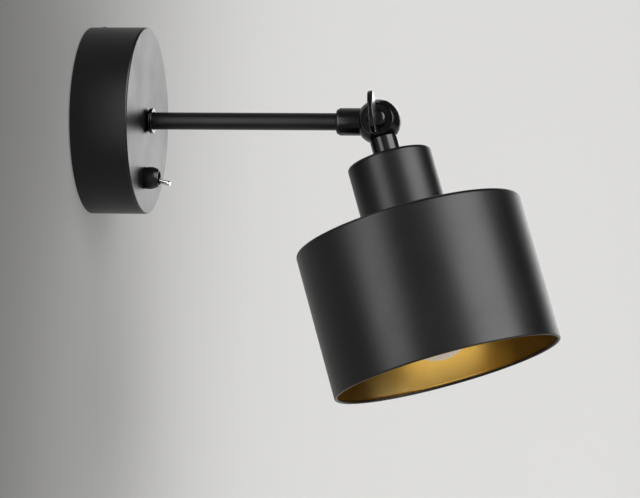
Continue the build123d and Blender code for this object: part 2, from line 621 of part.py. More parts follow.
# --- bulb ---------------------------------------------------------------------------------
def globe_outline(radius, neck, rim):
    """Half outline of the globe: its neck, flaring into a sphere that ends on the axis."""
    centre = BULB_TIP - BULB_R
    join = math.radians(42)
    shoulder = (radius * math.sin(join), 0, centre - radius * math.cos(join))
    side = (radius, 0, centre)
    tip = (0, 0, centre + radius)
    flare = Line((neck, 0, rim), (neck + 0.2, 0, rim + 2.5))
    throat = TangentArc(flare @ 1, shoulder, tangent=flare % 1)
    upper = ThreePointArc(shoulder, (radius * math.sin((join + math.pi / 2) / 2), 0,
                                     centre - radius * math.cos((join + math.pi / 2) / 2)), side)
    lower = ThreePointArc(side, (radius * math.sqrt(0.5), 0, centre + radius * math.sqrt(0.5)), tip)
    return [flare, throat, upper, lower, Line(tip, (0, 0, rim)), Line((0, 0, rim), (neck, 0, rim))]


def bulb_glass():
    """Frosted globe, blown thin and open only at its neck."""
    rim = CAP_RIM - 3.0
    outer = revolve(make_face(Wire(globe_outline(BULB_R, BULB_NECK_R, rim))), Axis.Z)
    inner_outline = globe_outline(BULB_R - BULB_GLASS, BULB_NECK_R - BULB_GLASS, rim)
    inner = revolve(make_face(Wire(inner_outline)), Axis.Z)
    return HEAD * (outer - inner)


def bulb_cap():
    """Nickelled E27 cap with its rolled thread, as rings."""
    low = CONTACT_TIP + CONTACT_HEIGHT + INSULATOR_HEIGHT
    pitch = (BULB_CAP_LENGTH - 8.0) / BULB_TURNS
    outside = [(BULB_CAP_ROOT_R - 1.6, low), (BULB_CAP_ROOT_R, low + 1.6)]
    for turn in range(BULB_TURNS):
        base = low + 2.2 + turn * pitch
        outside += [(BULB_CAP_ROOT_R, base), (BULB_CAP_R, base + pitch * 0.35),
                    (BULB_CAP_R, base + pitch * 0.6), (BULB_CAP_ROOT_R, base + pitch * 0.95)]
    outside += [(BULB_CAP_ROOT_R, CAP_RIM)]
    inside = [(radius - BULB_CAP_SHEET, height) for radius, height in reversed(outside)]
    inside[-1] = (outside[0][0] - BULB_CAP_SHEET, low)
    return HEAD * turned(*outside, *inside)


def bulb_insulator():
    """Black glass between the cap and its centre contact."""
    low = CONTACT_TIP + CONTACT_HEIGHT
    high = low + INSULATOR_HEIGHT
    rim = BULB_CAP_ROOT_R - 1.6 - BULB_CAP_SHEET
    return HEAD * turned((0, low), (CONTACT_R, low), (rim, high), (0, high))


def bulb_contact():
    low = CONTACT_TIP
    return HEAD * turned((0, low), (CONTACT_R - 0.9, low), (CONTACT_R - 0.2, low + CONTACT_HEIGHT),
                         (0, low + CONTACT_HEIGHT))


def bulb_mount():
    """Glass stem inside the bulb, from the insulator up into the globe."""
    low = CONTACT_TIP + CONTACT_HEIGHT + INSULATOR_HEIGHT
    waist = CAP_RIM - 6.0
    top = CAP_RIM + 8.0
    return HEAD * turned((0, low), (BULB_NECK_R - BULB_GLASS - 1.5, low), (MOUNT_R + 1.0, low + 4.0),
                         (MOUNT_R + 1.0, waist), (MOUNT_R, waist + 3.0), (MOUNT_R - 0.8, top), (0, top))


def bulb_filaments():
    """Light rods that stand on the glass stem, leaning out round the axis."""
    foot = CAP_RIM + 8.0 + FILAMENT_R * 0.3
    rods = []
    for step in range(FILAMENTS):
        lean = Rot(0, 0, 360 / FILAMENTS * step + 45) * Pos(MOUNT_R - 0.2, 0, foot) * Rot(0, 14, 0)
        rods.append(HEAD * lean * rod(FILAMENT_R, 0, FILAMENT_LENGTH))
    return Compound(rods)


# --- toggle switch ------------------------------------------------------------------------
def switch_body():
    body = Pos(0, 0, BUSH_INNER - SWITCH_DEEP / 2) * Box(SWITCH_WIDE, SWITCH_TALL, SWITCH_DEEP)
    return SWITCH * fillet(body.edges().filter_by(Axis.Z), 0.5)


def switch_bush():
    return SWITCH * ring(BUSH_R, BUSH_BORE_R, BUSH_INNER, BUSH_INNER + BUSH_LENGTH)


def switch_inner_nut():
    high = FACE_INSIDE - SWITCH_WASHER_SHEET
    return SWITCH * hex_nut(SWITCH_NUT_FLATS, BUSH_R + THREAD_GAP, high - SWITCH_NUT_HEIGHT, high)


def switch_tooth_washer():
    low = FACE_INSIDE - SWITCH_WASHER_SHEET
    return SWITCH * tooth_washer(SWITCH_WASHER_R, BUSH_R + HOLE_GAP, low, FACE_INSIDE, TEETH)


def switch_dress_nut():
    """Bullet-shaped plastic nut over the bush, with a wide mouth for the lever."""
    base = CANOPY_DEPTH
    straight = base + DRESS_STRAIGHT
    bore = BUSH_R + THREAD_GAP
    outside = [
        Line((bore, 0, base), (DRESS_R - 0.3, 0, base)),
        Line((DRESS_R - 0.3, 0, base), (DRESS_R, 0, base + 0.3)),
        Line((DRESS_R, 0, base + 0.3), (DRESS_R, 0, straight)),
        TangentArc((DRESS_R, 0, straight), (DRESS_FRONT_R, 0, DRESS_FRONT), tangent=(0, 0, 1)),
        Line((DRESS_FRONT_R, 0, DRESS_FRONT), (DRESS_MOUTH_R, 0, DRESS_FRONT)),
        Line((DRESS_MOUTH_R, 0, DRESS_FRONT), (DRESS_MOUTH_R, 0, base + DRESS_THREAD)),
        Line((DRESS_MOUTH_R, 0, base + DRESS_THREAD), (bore, 0, base + DRESS_THREAD)),
        Line((bore, 0, base + DRESS_THREAD), (bore, 0, base)),
    ]
    body = revolve(make_face(Wire(outside)), Axis.Z)
    groove = ring(DRESS_R + 1, DRESS_R - 0.3, base + 1.0, base + 1.4)
    return SWITCH * (body - groove)


def toggle_lever():
    """Bat lever on its pivot ball, with the short tail that works the switch."""
    tip = LEVER_LENGTH
    body = turned((0, 0), (LEVER_ROOT_R, 0), (LEVER_ROOT_R + 0.1, tip * 0.45), (LEVER_TIP_R, tip * 0.9),
                  (LEVER_TIP_R * 0.86, tip * 0.97), (LEVER_TIP_R * 0.45, tip), (0, tip))
    body += Sphere(LEVER_BALL_R) + rod(LEVER_TAIL_R, -LEVER_TAIL, 0)
    return SWITCH * Pos(0, 0, LEVER_PIVOT) * Rot(LEVER_ANGLE, 0, 0) * body


def switch_tags():
    """Two solder tags at the back of the switch."""
    back = BUSH_INNER - SWITCH_DEEP
    tags = []
    for side in (1, -1):
        tag = Pos(0, side * TAG_SPACING / 2, back - TAG_LENGTH / 2) * Box(TAG_WIDTH, 0.8, TAG_LENGTH)
        tags.append(SWITCH * tag)
    return Compound(tags)


# --- wires --------------------------------------------------------------------------------
def tag_point(side):
    """Distance from the wall and height of a switch tag's soldered end; side is 1 for the upper tag."""
    return BUSH_INNER - SWITCH_DEEP - TAG_LENGTH / 2, -SWITCH_DROP + side * TAG_SPACING / 2


def line_wire():
    """From the block's first pole to the switch's upper tag."""
    x = block_poles()[0]
    out = BRACKET_SHEET + BLOCK_HEIGHT / 2
    tag_out, tag_z = tag_point(1)
    return wire((x, -out, BLOCK_Z - 2.0), (x, -out, -16.0), (x, -tag_out, tag_z),
                (-TAG_WIDTH / 2, -tag_out, tag_z))


def switched_wire():
    """From the switch's lower tag up into the arm, as far as the knuckle."""
    x = block_poles()[-1] + 3.0
    tag_out, tag_z = tag_point(-1)
    end = CANOPY_DEPTH + ARM_REACH - WIRE_STOP
    z = -WIRE_PITCH / 2
    return wire((TAG_WIDTH / 2, -tag_out, tag_z), (x, -tag_out, tag_z), (x, -WIRE_TURN, -9.0),
                (WIRE_LANE, -WIRE_TURN, z), (WIRE_LANE, -end, z))


def neutral_wire():
    """From the block's last pole into the arm, as far as the knuckle."""
    x = block_poles()[-1]
    out = BRACKET_SHEET + BLOCK_HEIGHT / 2
    end = CANOPY_DEPTH + ARM_REACH - WIRE_STOP
    z = WIRE_PITCH / 2
    return wire((x, -out, BLOCK_Z - 2.0), (x, -out, 4.0), (WIRE_LANE, -out - 1.0, z), (WIRE_LANE, -end, z),
                bend=3.0)


def earth_wire():
    """From the bracket's earth tag to the tag under the arm's nut."""
    low = BRACKET_SHEET + TAG_SHEET + WIRE_R
    high = FACE_INSIDE - TOOTH_WASHER_SHEET - NUT_HEIGHT - TAG_SHEET - WIRE_R
    x = TUBE_R + TAG_RIM + TAG_TAIL + 2 * WIRE_BEND
    from_bracket = EARTH_X + EARTH_SCREW_R + TAG_RIM + TAG_TAIL / 2
    to_arm = TUBE_R + TAG_RIM + TAG_TAIL / 2
    return wire((from_bracket, -low, EARTH_Z), (x, -low, EARTH_Z), (x, -high, 0), (to_arm, -high, 0))


def head_wires():
    """Two wires from the knuckle through the nipple to the lampholder's terminals."""
    wires = []
    for side in (1, -1):
        x = -WIRE_LANE
        y = side * WIRE_PITCH / 2
        wires.append(HEAD * wire((x, y, WIRE_STOP), (x, y, NIPPLE_SEAT + NIPPLE_LENGTH + 3.0),
                                 (side * TERMINAL_X, WIRE_POCKET_Y, INSERT_TOP - 8.0),
                                 (side * TERMINAL_X, WIRE_POCKET_Y, INSERT_TOP + WIRE_POCKET_DEPTH)))
    return Compound(wires)


PARTS = [
    wall_bracket, canopy_screw, canopy_peg, terminal_block, terminal_barrels, terminal_screws,
    earth_screw, earth_tags, canopy_cover,
    arm_tube, arm_collar, arm_tooth_washer, arm_lock_nut,
    knuckle_arm_half, knuckle_head_half, friction_washer,
    knuckle_flat_washer, knuckle_spring_washer, wing_screw,
    stem_nipple, lamp_cup, cup_tooth_washer, cup_lock_nut, shade, shade_ring,
    holder_cap, holder_sleeve, holder_insert, holder_terminal_screws,
    holder_screw_shell, holder_centre_contact,
    bulb_glass, bulb_cap, bulb_insulator, bulb_contact, bulb_mount, bulb_filaments,
    switch_body, switch_bush, switch_inner_nut, switch_tooth_washer, switch_dress_nut,
    toggle_lever, switch_tags,
    line_wire, switched_wire, neutral_wire, earth_wire, head_wires,
]

os.makedirs("parts", exist_ok=True)
for make in PARTS:
    piece = make()
    export_step(piece, f"parts/{make.__name__}.step")
    print(make.__name__, round(piece.volume, 2), len(piece.solids()))
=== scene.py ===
# %% [markdown]
# # A wall reading lamp
# The lamp has a drum canopy on the wall, a straight arm, a ball knuckle that a thumb screw clamps, and a
# drum shade, black outside and gold-coloured inside. The measured model comes in first as a frame. It
# fixes every size and place, so what is left to make here is the surface: smooth turned shapes, soft
# edges and finishes.

# %% Load the frame
import bpy
import bmesh
import math
from mathutils import Matrix, Vector


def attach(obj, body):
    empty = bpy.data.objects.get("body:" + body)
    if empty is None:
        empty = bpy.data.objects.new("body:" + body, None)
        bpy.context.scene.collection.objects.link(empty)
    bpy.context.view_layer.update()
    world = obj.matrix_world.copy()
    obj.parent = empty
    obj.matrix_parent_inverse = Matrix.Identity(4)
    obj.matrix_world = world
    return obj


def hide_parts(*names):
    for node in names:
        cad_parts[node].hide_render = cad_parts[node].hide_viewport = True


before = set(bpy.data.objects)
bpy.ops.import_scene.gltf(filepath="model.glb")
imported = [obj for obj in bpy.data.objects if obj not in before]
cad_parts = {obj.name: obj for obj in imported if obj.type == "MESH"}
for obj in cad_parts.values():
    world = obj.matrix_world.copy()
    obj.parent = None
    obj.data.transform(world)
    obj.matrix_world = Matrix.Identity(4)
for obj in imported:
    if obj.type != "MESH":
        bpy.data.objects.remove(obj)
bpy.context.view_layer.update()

# %% [markdown]
# ## Where things are
# Every turned piece of this lamp is round about one of four axes: the arm's, the head's, the clamp
# screw's and the toggle switch's. Each gets one matrix that carries a shape drawn upright, in
# millimetres, to its place in metres. Drawing in millimetres keeps the numbers readable, and applying the
# matrix to the mesh leaves the object itself at the origin, so patterns on object coordinates stay put.

# %% The four axes
MM = 0.001
KNUCKLE = Vector((0, -168.5, 0))
HEAD_TILT = 17.3
SWITCH_DROP = 33.8


def axis_frame(place, angle, about):
    """Local Z, drawn in millimetres, goes to an axis of the lamp, in metres."""
    turn = Matrix.Rotation(math.radians(angle), 4, about)
    return Matrix.Scale(MM, 4) @ Matrix.Translation(place) @ turn


OUT_OF_WALL = axis_frame(Vector((0, 0, 0)), 90, "X")
TO_WALL = axis_frame(KNUCKLE, -90, "X")
DOWN_HEAD = axis_frame(KNUCKLE, 180 - HEAD_TILT, "X")
HINGE = axis_frame(KNUCKLE, -90, "Y")
SWITCH = axis_frame(Vector((0, 0, -SWITCH_DROP)), 90, "X")
print("knuckle at", [round(v, 4) for v in KNUCKLE * MM])

# %% [markdown]
# ## The camera
# The photograph looks along the wall from the left, a little upwards and a little into the wall, with a
# long lens: the drums show almost no perspective. The camera's three directions were fitted to the
# outlines of the canopy, the arm and the shade, so they are written here as a matrix and not as a point
# to look at.

# %% Camera
CAMERA_PLACE = Vector((-1.4468, -0.3788, -0.3053))
RIGHT = Vector((0.158548, -0.986602, 0.038465))
UP = Vector((-0.159799, 0.012803, 0.987066))
SENSOR_WIDTH, LENS, FARTHEST = 36, 146.25, 50
back = RIGHT.cross(UP)
facing = Matrix((RIGHT, UP, back)).transposed().to_4x4()
camera = bpy.data.objects.new("camera", bpy.data.cameras.new("camera"))
bpy.context.scene.collection.objects.link(camera)
camera.matrix_world = Matrix.Translation(CAMERA_PLACE) @ facing
camera.data.sensor_width = SENSOR_WIDTH
camera.data.lens = LENS
camera.data.clip_end = FARTHEST
bpy.context.scene.camera = camera
print("camera looks along", [round(v, 3) for v in -back])

# %% [markdown]
# ## Tools for turned pieces
# A metal spinner presses a drum over a form as it turns, and a lathe cuts a knob or a nut the same way.
# Blender's spin does that too: half an outline is drawn as a chain of points, radius and height, and
# swept round. A closed outline gives a piece with a real wall. Sharp corners don't exist on a coated
# part, so the sharp circles are bevelled afterwards. That could be a modifier, but here it is done in the
# mesh, and a later step can't undo it.

# %% Helpers for meshes
ON_AXIS, SAME_POINT = 1e-6, 1e-5
SMOOTH_BELOW = math.radians(35)


def soften(mesh, width, segments=3, sharper_than=28):
    """Rounds every edge that turns by more than an angle."""
    limit = math.radians(sharper_than)
    edges = [e for e in mesh.edges if len(e.link_faces) == 2 and e.calc_face_angle(0) > limit]
    bmesh.ops.bevel(mesh, geom=edges, offset=width, offset_type="OFFSET", affect="EDGES",
                    segments=segments, profile=0.5, material=-1, clamp_overlap=True)


def spin_outline(mesh, points, steps, closed=True):
    """Sweeps (radius, height) points round local Z. Points on the axis become poles."""
    verts = [mesh.verts.new((radius, 0, height)) for radius, height in points]
    pairs = list(zip(verts, verts[1:]))
    if closed:
        pairs.append((verts[-1], verts[0]))
    edges = [mesh.edges.new(pair) for pair in pairs if max(end.co.x for end in pair) > ON_AXIS]
    bmesh.ops.spin(mesh, geom=verts + edges, cent=(0, 0, 0), axis=(0, 0, 1), angle=2 * math.pi,
                   steps=steps, use_merge=True, use_duplicate=False)
    bmesh.ops.remove_doubles(mesh, verts=mesh.verts, dist=SAME_POINT)
    loose = [v for v in mesh.verts if not v.link_faces]
    bmesh.ops.delete(mesh, geom=loose, context="VERTS")
    bmesh.ops.recalc_face_normals(mesh, faces=mesh.faces)


def arc(centre, radius, start, end, steps):
    """Points of an arc in the outline's plane, from one angle to another, in degrees."""
    found = []
    for i in range(steps + 1):
        angle = math.radians(start + (end - start) * i / steps)
        out, along = radius * math.cos(angle), radius * math.sin(angle)
        found.append((centre[0] + out, centre[1] + along))
    return found


def merged(first, second):
    """Puts the shells of two meshes into the first."""
    holder = bpy.data.meshes.new("holder")
    second.to_mesh(holder)
    second.free()
    first.from_mesh(holder)
    bpy.data.meshes.remove(holder)
    return first


def piece(name, mesh, place, body, materials, nodes):
    """Makes an object of a mesh, with its place in its vertices, fixes it to its body and hides the frame's
    nodes that it stands for.
    """
    bmesh.ops.transform(mesh, matrix=place, verts=mesh.verts)
    for face in mesh.faces:
        face.smooth = True
    for edge in mesh.edges:
        edge.smooth = edge.calc_face_angle(0) < SMOOTH_BELOW
    data = bpy.data.meshes.new(name)
    mesh.to_mesh(data)
    mesh.free()
    made = bpy.data.objects.new(name, data)
    bpy.context.scene.collection.objects.link(made)
    for material in materials:
        data.materials.append(material)
    flat_first = made.modifiers.new("flat_first", "WEIGHTED_NORMAL")
    flat_first.keep_sharp = True
    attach(made, body)
    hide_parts(*nodes)
    print(name, len(data.polygons), "faces")
    return made


def turned(name, outline, place, body, material, nodes, edge, steps):
    """A turned piece. Its sharp corners are softened by the width of edge, or left alone where that is 0."""
    mesh = bmesh.new()
    spin_outline(mesh, outline, steps)
    if edge:
        soften(mesh, edge)
    piece(name, mesh, place, body, [material], nodes)


# %% [markdown]
# ## Effects that several finishes share
# A coat of black paint is not one flat value. Up close it has a fine orange-peel grain, and its gloss
# drifts where hands have been. Turned and spun metal keeps faint rings round its axis, and plated steel
# has short scratches. Each effect is a node group, built once, that puts out a height for a Bump node and
# a value between 0 and 1 for roughness or colour. The shader and its fixed numbers stay in each material.

# %% Helpers for nodes
def new_group(name, inputs, outputs):
    """A node group with its sockets, and the two nodes that stand for its inputs and its outputs."""
    group = bpy.data.node_groups.new(name, "ShaderNodeTree")
    for label, kind, value in inputs:
        made = group.interface.new_socket(name=label, in_out="INPUT", socket_type=kind)
        if value is not None:
            made.default_value = value
    for label in outputs:
        group.interface.new_socket(name=label, in_out="OUTPUT", socket_type="NodeSocketFloat")
    return group, group.nodes.new("NodeGroupInput"), group.nodes.new("NodeGroupOutput")


def add(tree, kind, **values):
    """A node with some of its settings and inputs filled in."""
    node = tree.nodes.new(kind)
    for key, value in values.items():
        if hasattr(node, key):
            setattr(node, key, value)
        else:
            node.inputs[key.replace("_", " ")].default_value = value
    return node


def remap(tree, source, low, high, to_low, to_high):
    """The output of a node that carries one range of values to another."""
    node = add(tree, "ShaderNodeMapRange")
    tree.links.new(source, node.inputs["Value"])
    node.inputs["From Min"].default_value = low
    node.inputs["From Max"].default_value = high
    node.inputs["To Min"].default_value = to_low
    node.inputs["To Max"].default_value = to_high
    return node.outputs["Result"]


# %% Paint grain and handling marks
paint_grain, grain_in, grain_out = new_group(
    "paint_grain", [("Vector", "NodeSocketVector", None), ("Grains per metre", "NodeSocketFloat", 900.0)],
    ["Height", "Drift"])
fine = add(paint_grain, "ShaderNodeTexNoise", Detail=3.0, Roughness=0.6)
wide = add(paint_grain, "ShaderNodeTexNoise", Scale=28.0, Detail=4.0, Roughness=0.55)
paint_grain.links.new(grain_in.outputs["Vector"], fine.inputs["Vector"])
paint_grain.links.new(grain_in.outputs["Grains per metre"], fine.inputs["Scale"])
paint_grain.links.new(grain_in.outputs["Vector"], wide.inputs["Vector"])
paint_grain.links.new(fine.outputs["Fac"], grain_out.inputs["Height"])
grain_drift = remap(paint_grain, wide.outputs["Fac"], 0.35, 0.7, 0.0, 1.0)
paint_grain.links.new(grain_drift, grain_out.inputs["Drift"])

# %% Rings left by turning, about local Z of the vector it is given
turning_rings, rings_in, rings_out = new_group(
    "turning_rings", [("Vector", "NodeSocketVector", None), ("Rings per metre", "NodeSocketFloat", 2500.0)],
    ["Height", "Drift"])
split = add(turning_rings, "ShaderNodeSeparateXYZ")
flat = add(turning_rings, "ShaderNodeCombineXYZ")
reach = add(turning_rings, "ShaderNodeVectorMath", operation="LENGTH")
both = add(turning_rings, "ShaderNodeMath", operation="ADD")
scaled = add(turning_rings, "ShaderNodeMath", operation="MULTIPLY")
lines = add(turning_rings, "ShaderNodeTexNoise", noise_dimensions="1D", Scale=1.0, Detail=2.0)
patches = add(turning_rings, "ShaderNodeTexNoise", Scale=60.0, Detail=3.0)
turning_rings.links.new(rings_in.outputs["Vector"], split.inputs["Vector"])
turning_rings.links.new(split.outputs["X"], flat.inputs["X"])
turning_rings.links.new(split.outputs["Y"], flat.inputs["Y"])
turning_rings.links.new(flat.outputs["Vector"], reach.inputs[0])
turning_rings.links.new(reach.outputs["Value"], both.inputs[0])
turning_rings.links.new(split.outputs["Z"], both.inputs[1])
turning_rings.links.new(both.outputs["Value"], scaled.inputs[0])
turning_rings.links.new(rings_in.outputs["Rings per metre"], scaled.inputs[1])
turning_rings.links.new(scaled.outputs["Value"], lines.inputs["W"])
turning_rings.links.new(rings_in.outputs["Vector"], patches.inputs["Vector"])
turning_rings.links.new(lines.outputs["Fac"], rings_out.inputs["Height"])
rings_drift = remap(turning_rings, patches.outputs["Fac"], 0.35, 0.65, 0.0, 1.0)
turning_rings.links.new(rings_drift, rings_out.inputs["Drift"])

# %% Short scratches of plated steel
plate_scratches, scratch_in, scratch_out = new_group(
    "plate_scratches", [("Vector", "NodeSocketVector", None), ("Size", "NodeSocketFloat", 500.0)],
    ["Height", "Drift"])
warp = add(plate_scratches, "ShaderNodeMapping", vector_type="POINT")
warp.inputs["Scale"].default_value = (1.0, 0.12, 1.0)
warp.inputs["Rotation"].default_value = (0.4, 0.2, 0.7)
streaks = add(plate_scratches, "ShaderNodeTexNoise", Detail=5.0, Roughness=0.7)
clouds = add(plate_scratches, "ShaderNodeTexNoise", Scale=140.0, Detail=4.0)
plate_scratches.links.new(scratch_in.outputs["Vector"], warp.inputs["Vector"])
plate_scratches.links.new(warp.outputs["Vector"], streaks.inputs["Vector"])
plate_scratches.links.new(scratch_in.outputs["Size"], streaks.inputs["Scale"])
plate_scratches.links.new(scratch_in.outputs["Vector"], clouds.inputs["Vector"])
plate_scratches.links.new(streaks.outputs["Fac"], scratch_out.inputs["Height"])
scratch_drift = remap(plate_scratches, clouds.outputs["Fac"], 0.3, 0.7, 0.0, 1.0)
plate_scratches.links.new(scratch_drift, scratch_out.inputs["Drift"])
print("shared effects", [g.name for g in bpy.data.node_groups])


# %% A finish from one shared effect
GRAIN_DEPTH = 0.00005


def along_axis(tree, source, axis):
    """Object coordinates carried into an axis of the lamp, given as a place and a rotation."""
    mapping = add(tree, "ShaderNodeMapping", vector_type="TEXTURE")
    mapping.inputs["Location"].default_value = axis[0]
    mapping.inputs["Rotation"].default_value = axis[1]
    tree.links.new(source, mapping.inputs["Vector"])
    return mapping.outputs["Vector"]


def finish(name, effect, size, dark, light, rough, bump, metal=0.0, turn=None, **shader):
    """A material whose colour and roughness drift between two values with a shared effect, and whose relief
    is the effect's height. A turn gives the axis that rings go round, as a place and a rotation."""
    material = bpy.data.materials.new(name)
    material.use_nodes = True
    tree = material.node_tree
    skin = tree.nodes["Principled BSDF"]
    skin.inputs["Metallic"].default_value = metal
    for key, value in shader.items():
        skin.inputs[key.replace("_", " ")].default_value = value
    where = add(tree, "ShaderNodeTexCoord")
    source = where.outputs["Object"]
    if turn:
        source = along_axis(tree, source, turn)
    group = add(tree, "ShaderNodeGroup", node_tree=effect)
    group.inputs[1].default_value = size
    tree.links.new(source, group.inputs["Vector"])
    colour = add(tree, "ShaderNodeMix", data_type="RGBA")
    colour.inputs["A"].default_value = (*dark, 1)
    colour.inputs["B"].default_value = (*light, 1)
    tree.links.new(group.outputs["Drift"], colour.inputs["Factor"])
    tree.links.new(colour.outputs["Result"], skin.inputs["Base Color"])
    gloss = remap(tree, group.outputs["Drift"], 0, 1, *rough)
    tree.links.new(gloss, skin.inputs["Roughness"])
    relief = add(tree, "ShaderNodeBump", Strength=bump, Distance=GRAIN_DEPTH)
    tree.links.new(group.outputs["Height"], relief.inputs["Height"])
    tree.links.new(relief.outputs["Normal"], skin.inputs["Normal"])
    return material


# %% [markdown]
# ## The finishes
# The drums and the arm have a satin coat: their highlights are broad and dim. The knuckle, the collar and
# the thumb screw are smoother castings under a glossier coat, so their highlights are small and bright.
# Inside, the shade is sprayed a matt gold. That is a metal with a wide highlight and not a yellow paint,
# because it is bright only where it faces the light.

# %% Coats
satin_black = finish("satin_black", paint_grain, 1400.0, (0.0012, 0.0012, 0.0014), (0.0022, 0.0022, 0.0026),
                     rough=(0.36, 0.42), bump=0.10, Specular_IOR_Level=0.42)
gloss_black = finish("gloss_black", paint_grain, 700.0, (0.002, 0.002, 0.0022), (0.0035, 0.0035, 0.004),
                     rough=(0.17, 0.24), bump=0.10, Specular_IOR_Level=0.45)
matt_gold = finish("matt_gold", paint_grain, 1600.0, (0.57, 0.425, 0.14), (0.65, 0.485, 0.17),
                   rough=(0.22, 0.28), bump=0.25, metal=1.0)

# %% Plastics
black_plastic = finish("black_plastic", paint_grain, 1100.0, (0.003, 0.003, 0.0033), (0.005, 0.005, 0.0055),
                       rough=(0.26, 0.34), bump=0.15, Specular_IOR_Level=0.32)
holder_plastic = finish("holder_plastic", paint_grain, 800.0, (0.012, 0.012, 0.012), (0.02, 0.02, 0.02),
                        rough=(0.30, 0.45), bump=0.15)
white_nylon = finish("white_nylon", paint_grain, 1500.0, (0.72, 0.70, 0.64), (0.80, 0.78, 0.73),
                     rough=(0.34, 0.5), bump=0.2, Subsurface_Weight=0.1, Subsurface_Scale=0.002)
dark_fibre = finish("dark_fibre", plate_scratches, 900.0, (0.05, 0.03, 0.02), (0.09, 0.06, 0.04),
                    rough=(0.7, 0.85), bump=0.5)
brown_sheath = finish("brown_sheath", paint_grain, 1200.0, (0.09, 0.032, 0.012), (0.12, 0.045, 0.018),
                      rough=(0.3, 0.42), bump=0.1)
blue_sheath = finish("blue_sheath", paint_grain, 1200.0, (0.012, 0.06, 0.26), (0.02, 0.08, 0.32),
                     rough=(0.3, 0.42), bump=0.1)

# %% Metals
AXIS_OUT = ((0, 0, 0), (math.radians(90), 0, 0))
AXIS_HEAD = (tuple(KNUCKLE * MM), (math.radians(180 - HEAD_TILT), 0, 0))
zinc_plate = finish("zinc_plate", plate_scratches, 700.0, (0.50, 0.50, 0.47), (0.66, 0.66, 0.64),
                    rough=(0.26, 0.42), bump=0.25, metal=1.0)
nickel_plate = finish("nickel_plate", turning_rings, 3000.0, (0.80, 0.79, 0.76), (0.86, 0.85, 0.83),
                      rough=(0.12, 0.18), bump=0.06, metal=1.0, turn=AXIS_OUT)
cap_nickel = finish("cap_nickel", turning_rings, 2500.0, (0.60, 0.57, 0.52), (0.70, 0.68, 0.64),
                    rough=(0.2, 0.34), bump=0.2, metal=1.0, turn=AXIS_HEAD)
plain_brass = finish("plain_brass", plate_scratches, 600.0, (0.60, 0.42, 0.16), (0.74, 0.55, 0.26),
                     rough=(0.24, 0.4), bump=0.25, metal=1.0)
tinned = finish("tinned", plate_scratches, 900.0, (0.52, 0.52, 0.50), (0.66, 0.66, 0.65),
                rough=(0.3, 0.5), bump=0.3, metal=1.0)

# %% Glass and ceramic
glazed_white = finish("glazed_white", paint_grain, 500.0, (0.72, 0.70, 0.66), (0.78, 0.77, 0.73),
                      rough=(0.14, 0.24), bump=0.08)
# The globe's warm beige is partly the frosted glass's own colour and partly painted reflected light from the
# shade's gold inside.
frosted = finish("frosted", paint_grain, 2200.0, (0.60, 0.54, 0.46), (0.66, 0.60, 0.52),
                 rough=(0.38, 0.5), bump=0.12, Subsurface_Weight=0.3, Subsurface_Scale=0.01,
                 Emission_Strength=1.0)
clear_glass = finish("clear_glass", paint_grain, 200.0, (0.92, 0.94, 0.94), (0.96, 0.98, 0.98),
                     rough=(0.02, 0.05), bump=0.02, Transmission_Weight=1.0)
black_glass = finish("black_glass", paint_grain, 300.0, (0.006, 0.006, 0.007), (0.01, 0.01, 0.012),
                     rough=(0.04, 0.1), bump=0.05)
phosphor = finish("phosphor", paint_grain, 3000.0, (0.85, 0.52, 0.08), (0.92, 0.62, 0.14),
                  rough=(0.5, 0.65), bump=0.4)

# %% [markdown]
# The bulb is lit, but weakly: its globe glows most where the filaments are and dims towards the tip. A
# ramp along the head's axis drives the emission colour, so no lamp has to be hidden inside the glass.

# %% The bulb's glow
FULL_GLOW_AT, LEAST_GLOW_AT = 0.125, 0.140
GLOW_BRIGHT, GLOW_DIM = (1.12, 0.90, 0.56, 1), (0.10, 0.07, 0.045, 1)
glow_tree = frosted.node_tree
glow_skin = glow_tree.nodes["Principled BSDF"]
glow_where = add(glow_tree, "ShaderNodeTexCoord")
glow_split = add(glow_tree, "ShaderNodeSeparateXYZ")
glow = add(glow_tree, "ShaderNodeMix", data_type="RGBA")
glow.inputs["A"].default_value = GLOW_BRIGHT
glow.inputs["B"].default_value = GLOW_DIM
down_head = along_axis(glow_tree, glow_where.outputs["Object"], AXIS_HEAD)
glow_tree.links.new(down_head, glow_split.inputs["Vector"])
dimming = remap(glow_tree, glow_split.outputs["Z"], FULL_GLOW_AT, LEAST_GLOW_AT, 0.0, 1.0)
glow_tree.links.new(dimming, glow.inputs["Factor"])
glow_tree.links.new(glow.outputs["Result"], glow_skin.inputs["Emission Color"])
print("finishes", len(bpy.data.materials))

# %% [markdown]
# The earth wire is the one finish with a drawn pattern: its sheath is green with a yellow stripe along
# it, so that it can't be taken for another wire. The stripe runs at a slant through the sheath, with a
# softened border.

# %% Green and yellow sheath
YELLOW, STRIPE_SCALE = (0.65, 0.55, 0.03, 1), 110.0
earth_sheath = finish("earth_sheath", paint_grain, 1200.0, (0.03, 0.16, 0.03), (0.05, 0.22, 0.04),
                      rough=(0.3, 0.42), bump=0.1)
earth_tree = earth_sheath.node_tree
earth_skin = earth_tree.nodes["Principled BSDF"]
earth_coat = earth_skin.inputs["Base Color"].links[0].from_socket
bands = add(earth_tree, "ShaderNodeTexWave", wave_type="BANDS", bands_direction="DIAGONAL",
            Scale=STRIPE_SCALE)
stripe = add(earth_tree, "ShaderNodeMix", data_type="RGBA")
stripe.inputs["B"].default_value = YELLOW
earth_where = add(earth_tree, "ShaderNodeTexCoord")
earth_tree.links.new(earth_where.outputs["Object"], bands.inputs["Vector"])
border = remap(earth_tree, bands.outputs["Fac"], 0.45, 0.55, 0.0, 1.0)
earth_tree.links.new(border, stripe.inputs["Factor"])
earth_tree.links.new(earth_coat, stripe.inputs["A"])
earth_tree.links.new(stripe.outputs["Result"], earth_skin.inputs["Base Color"])

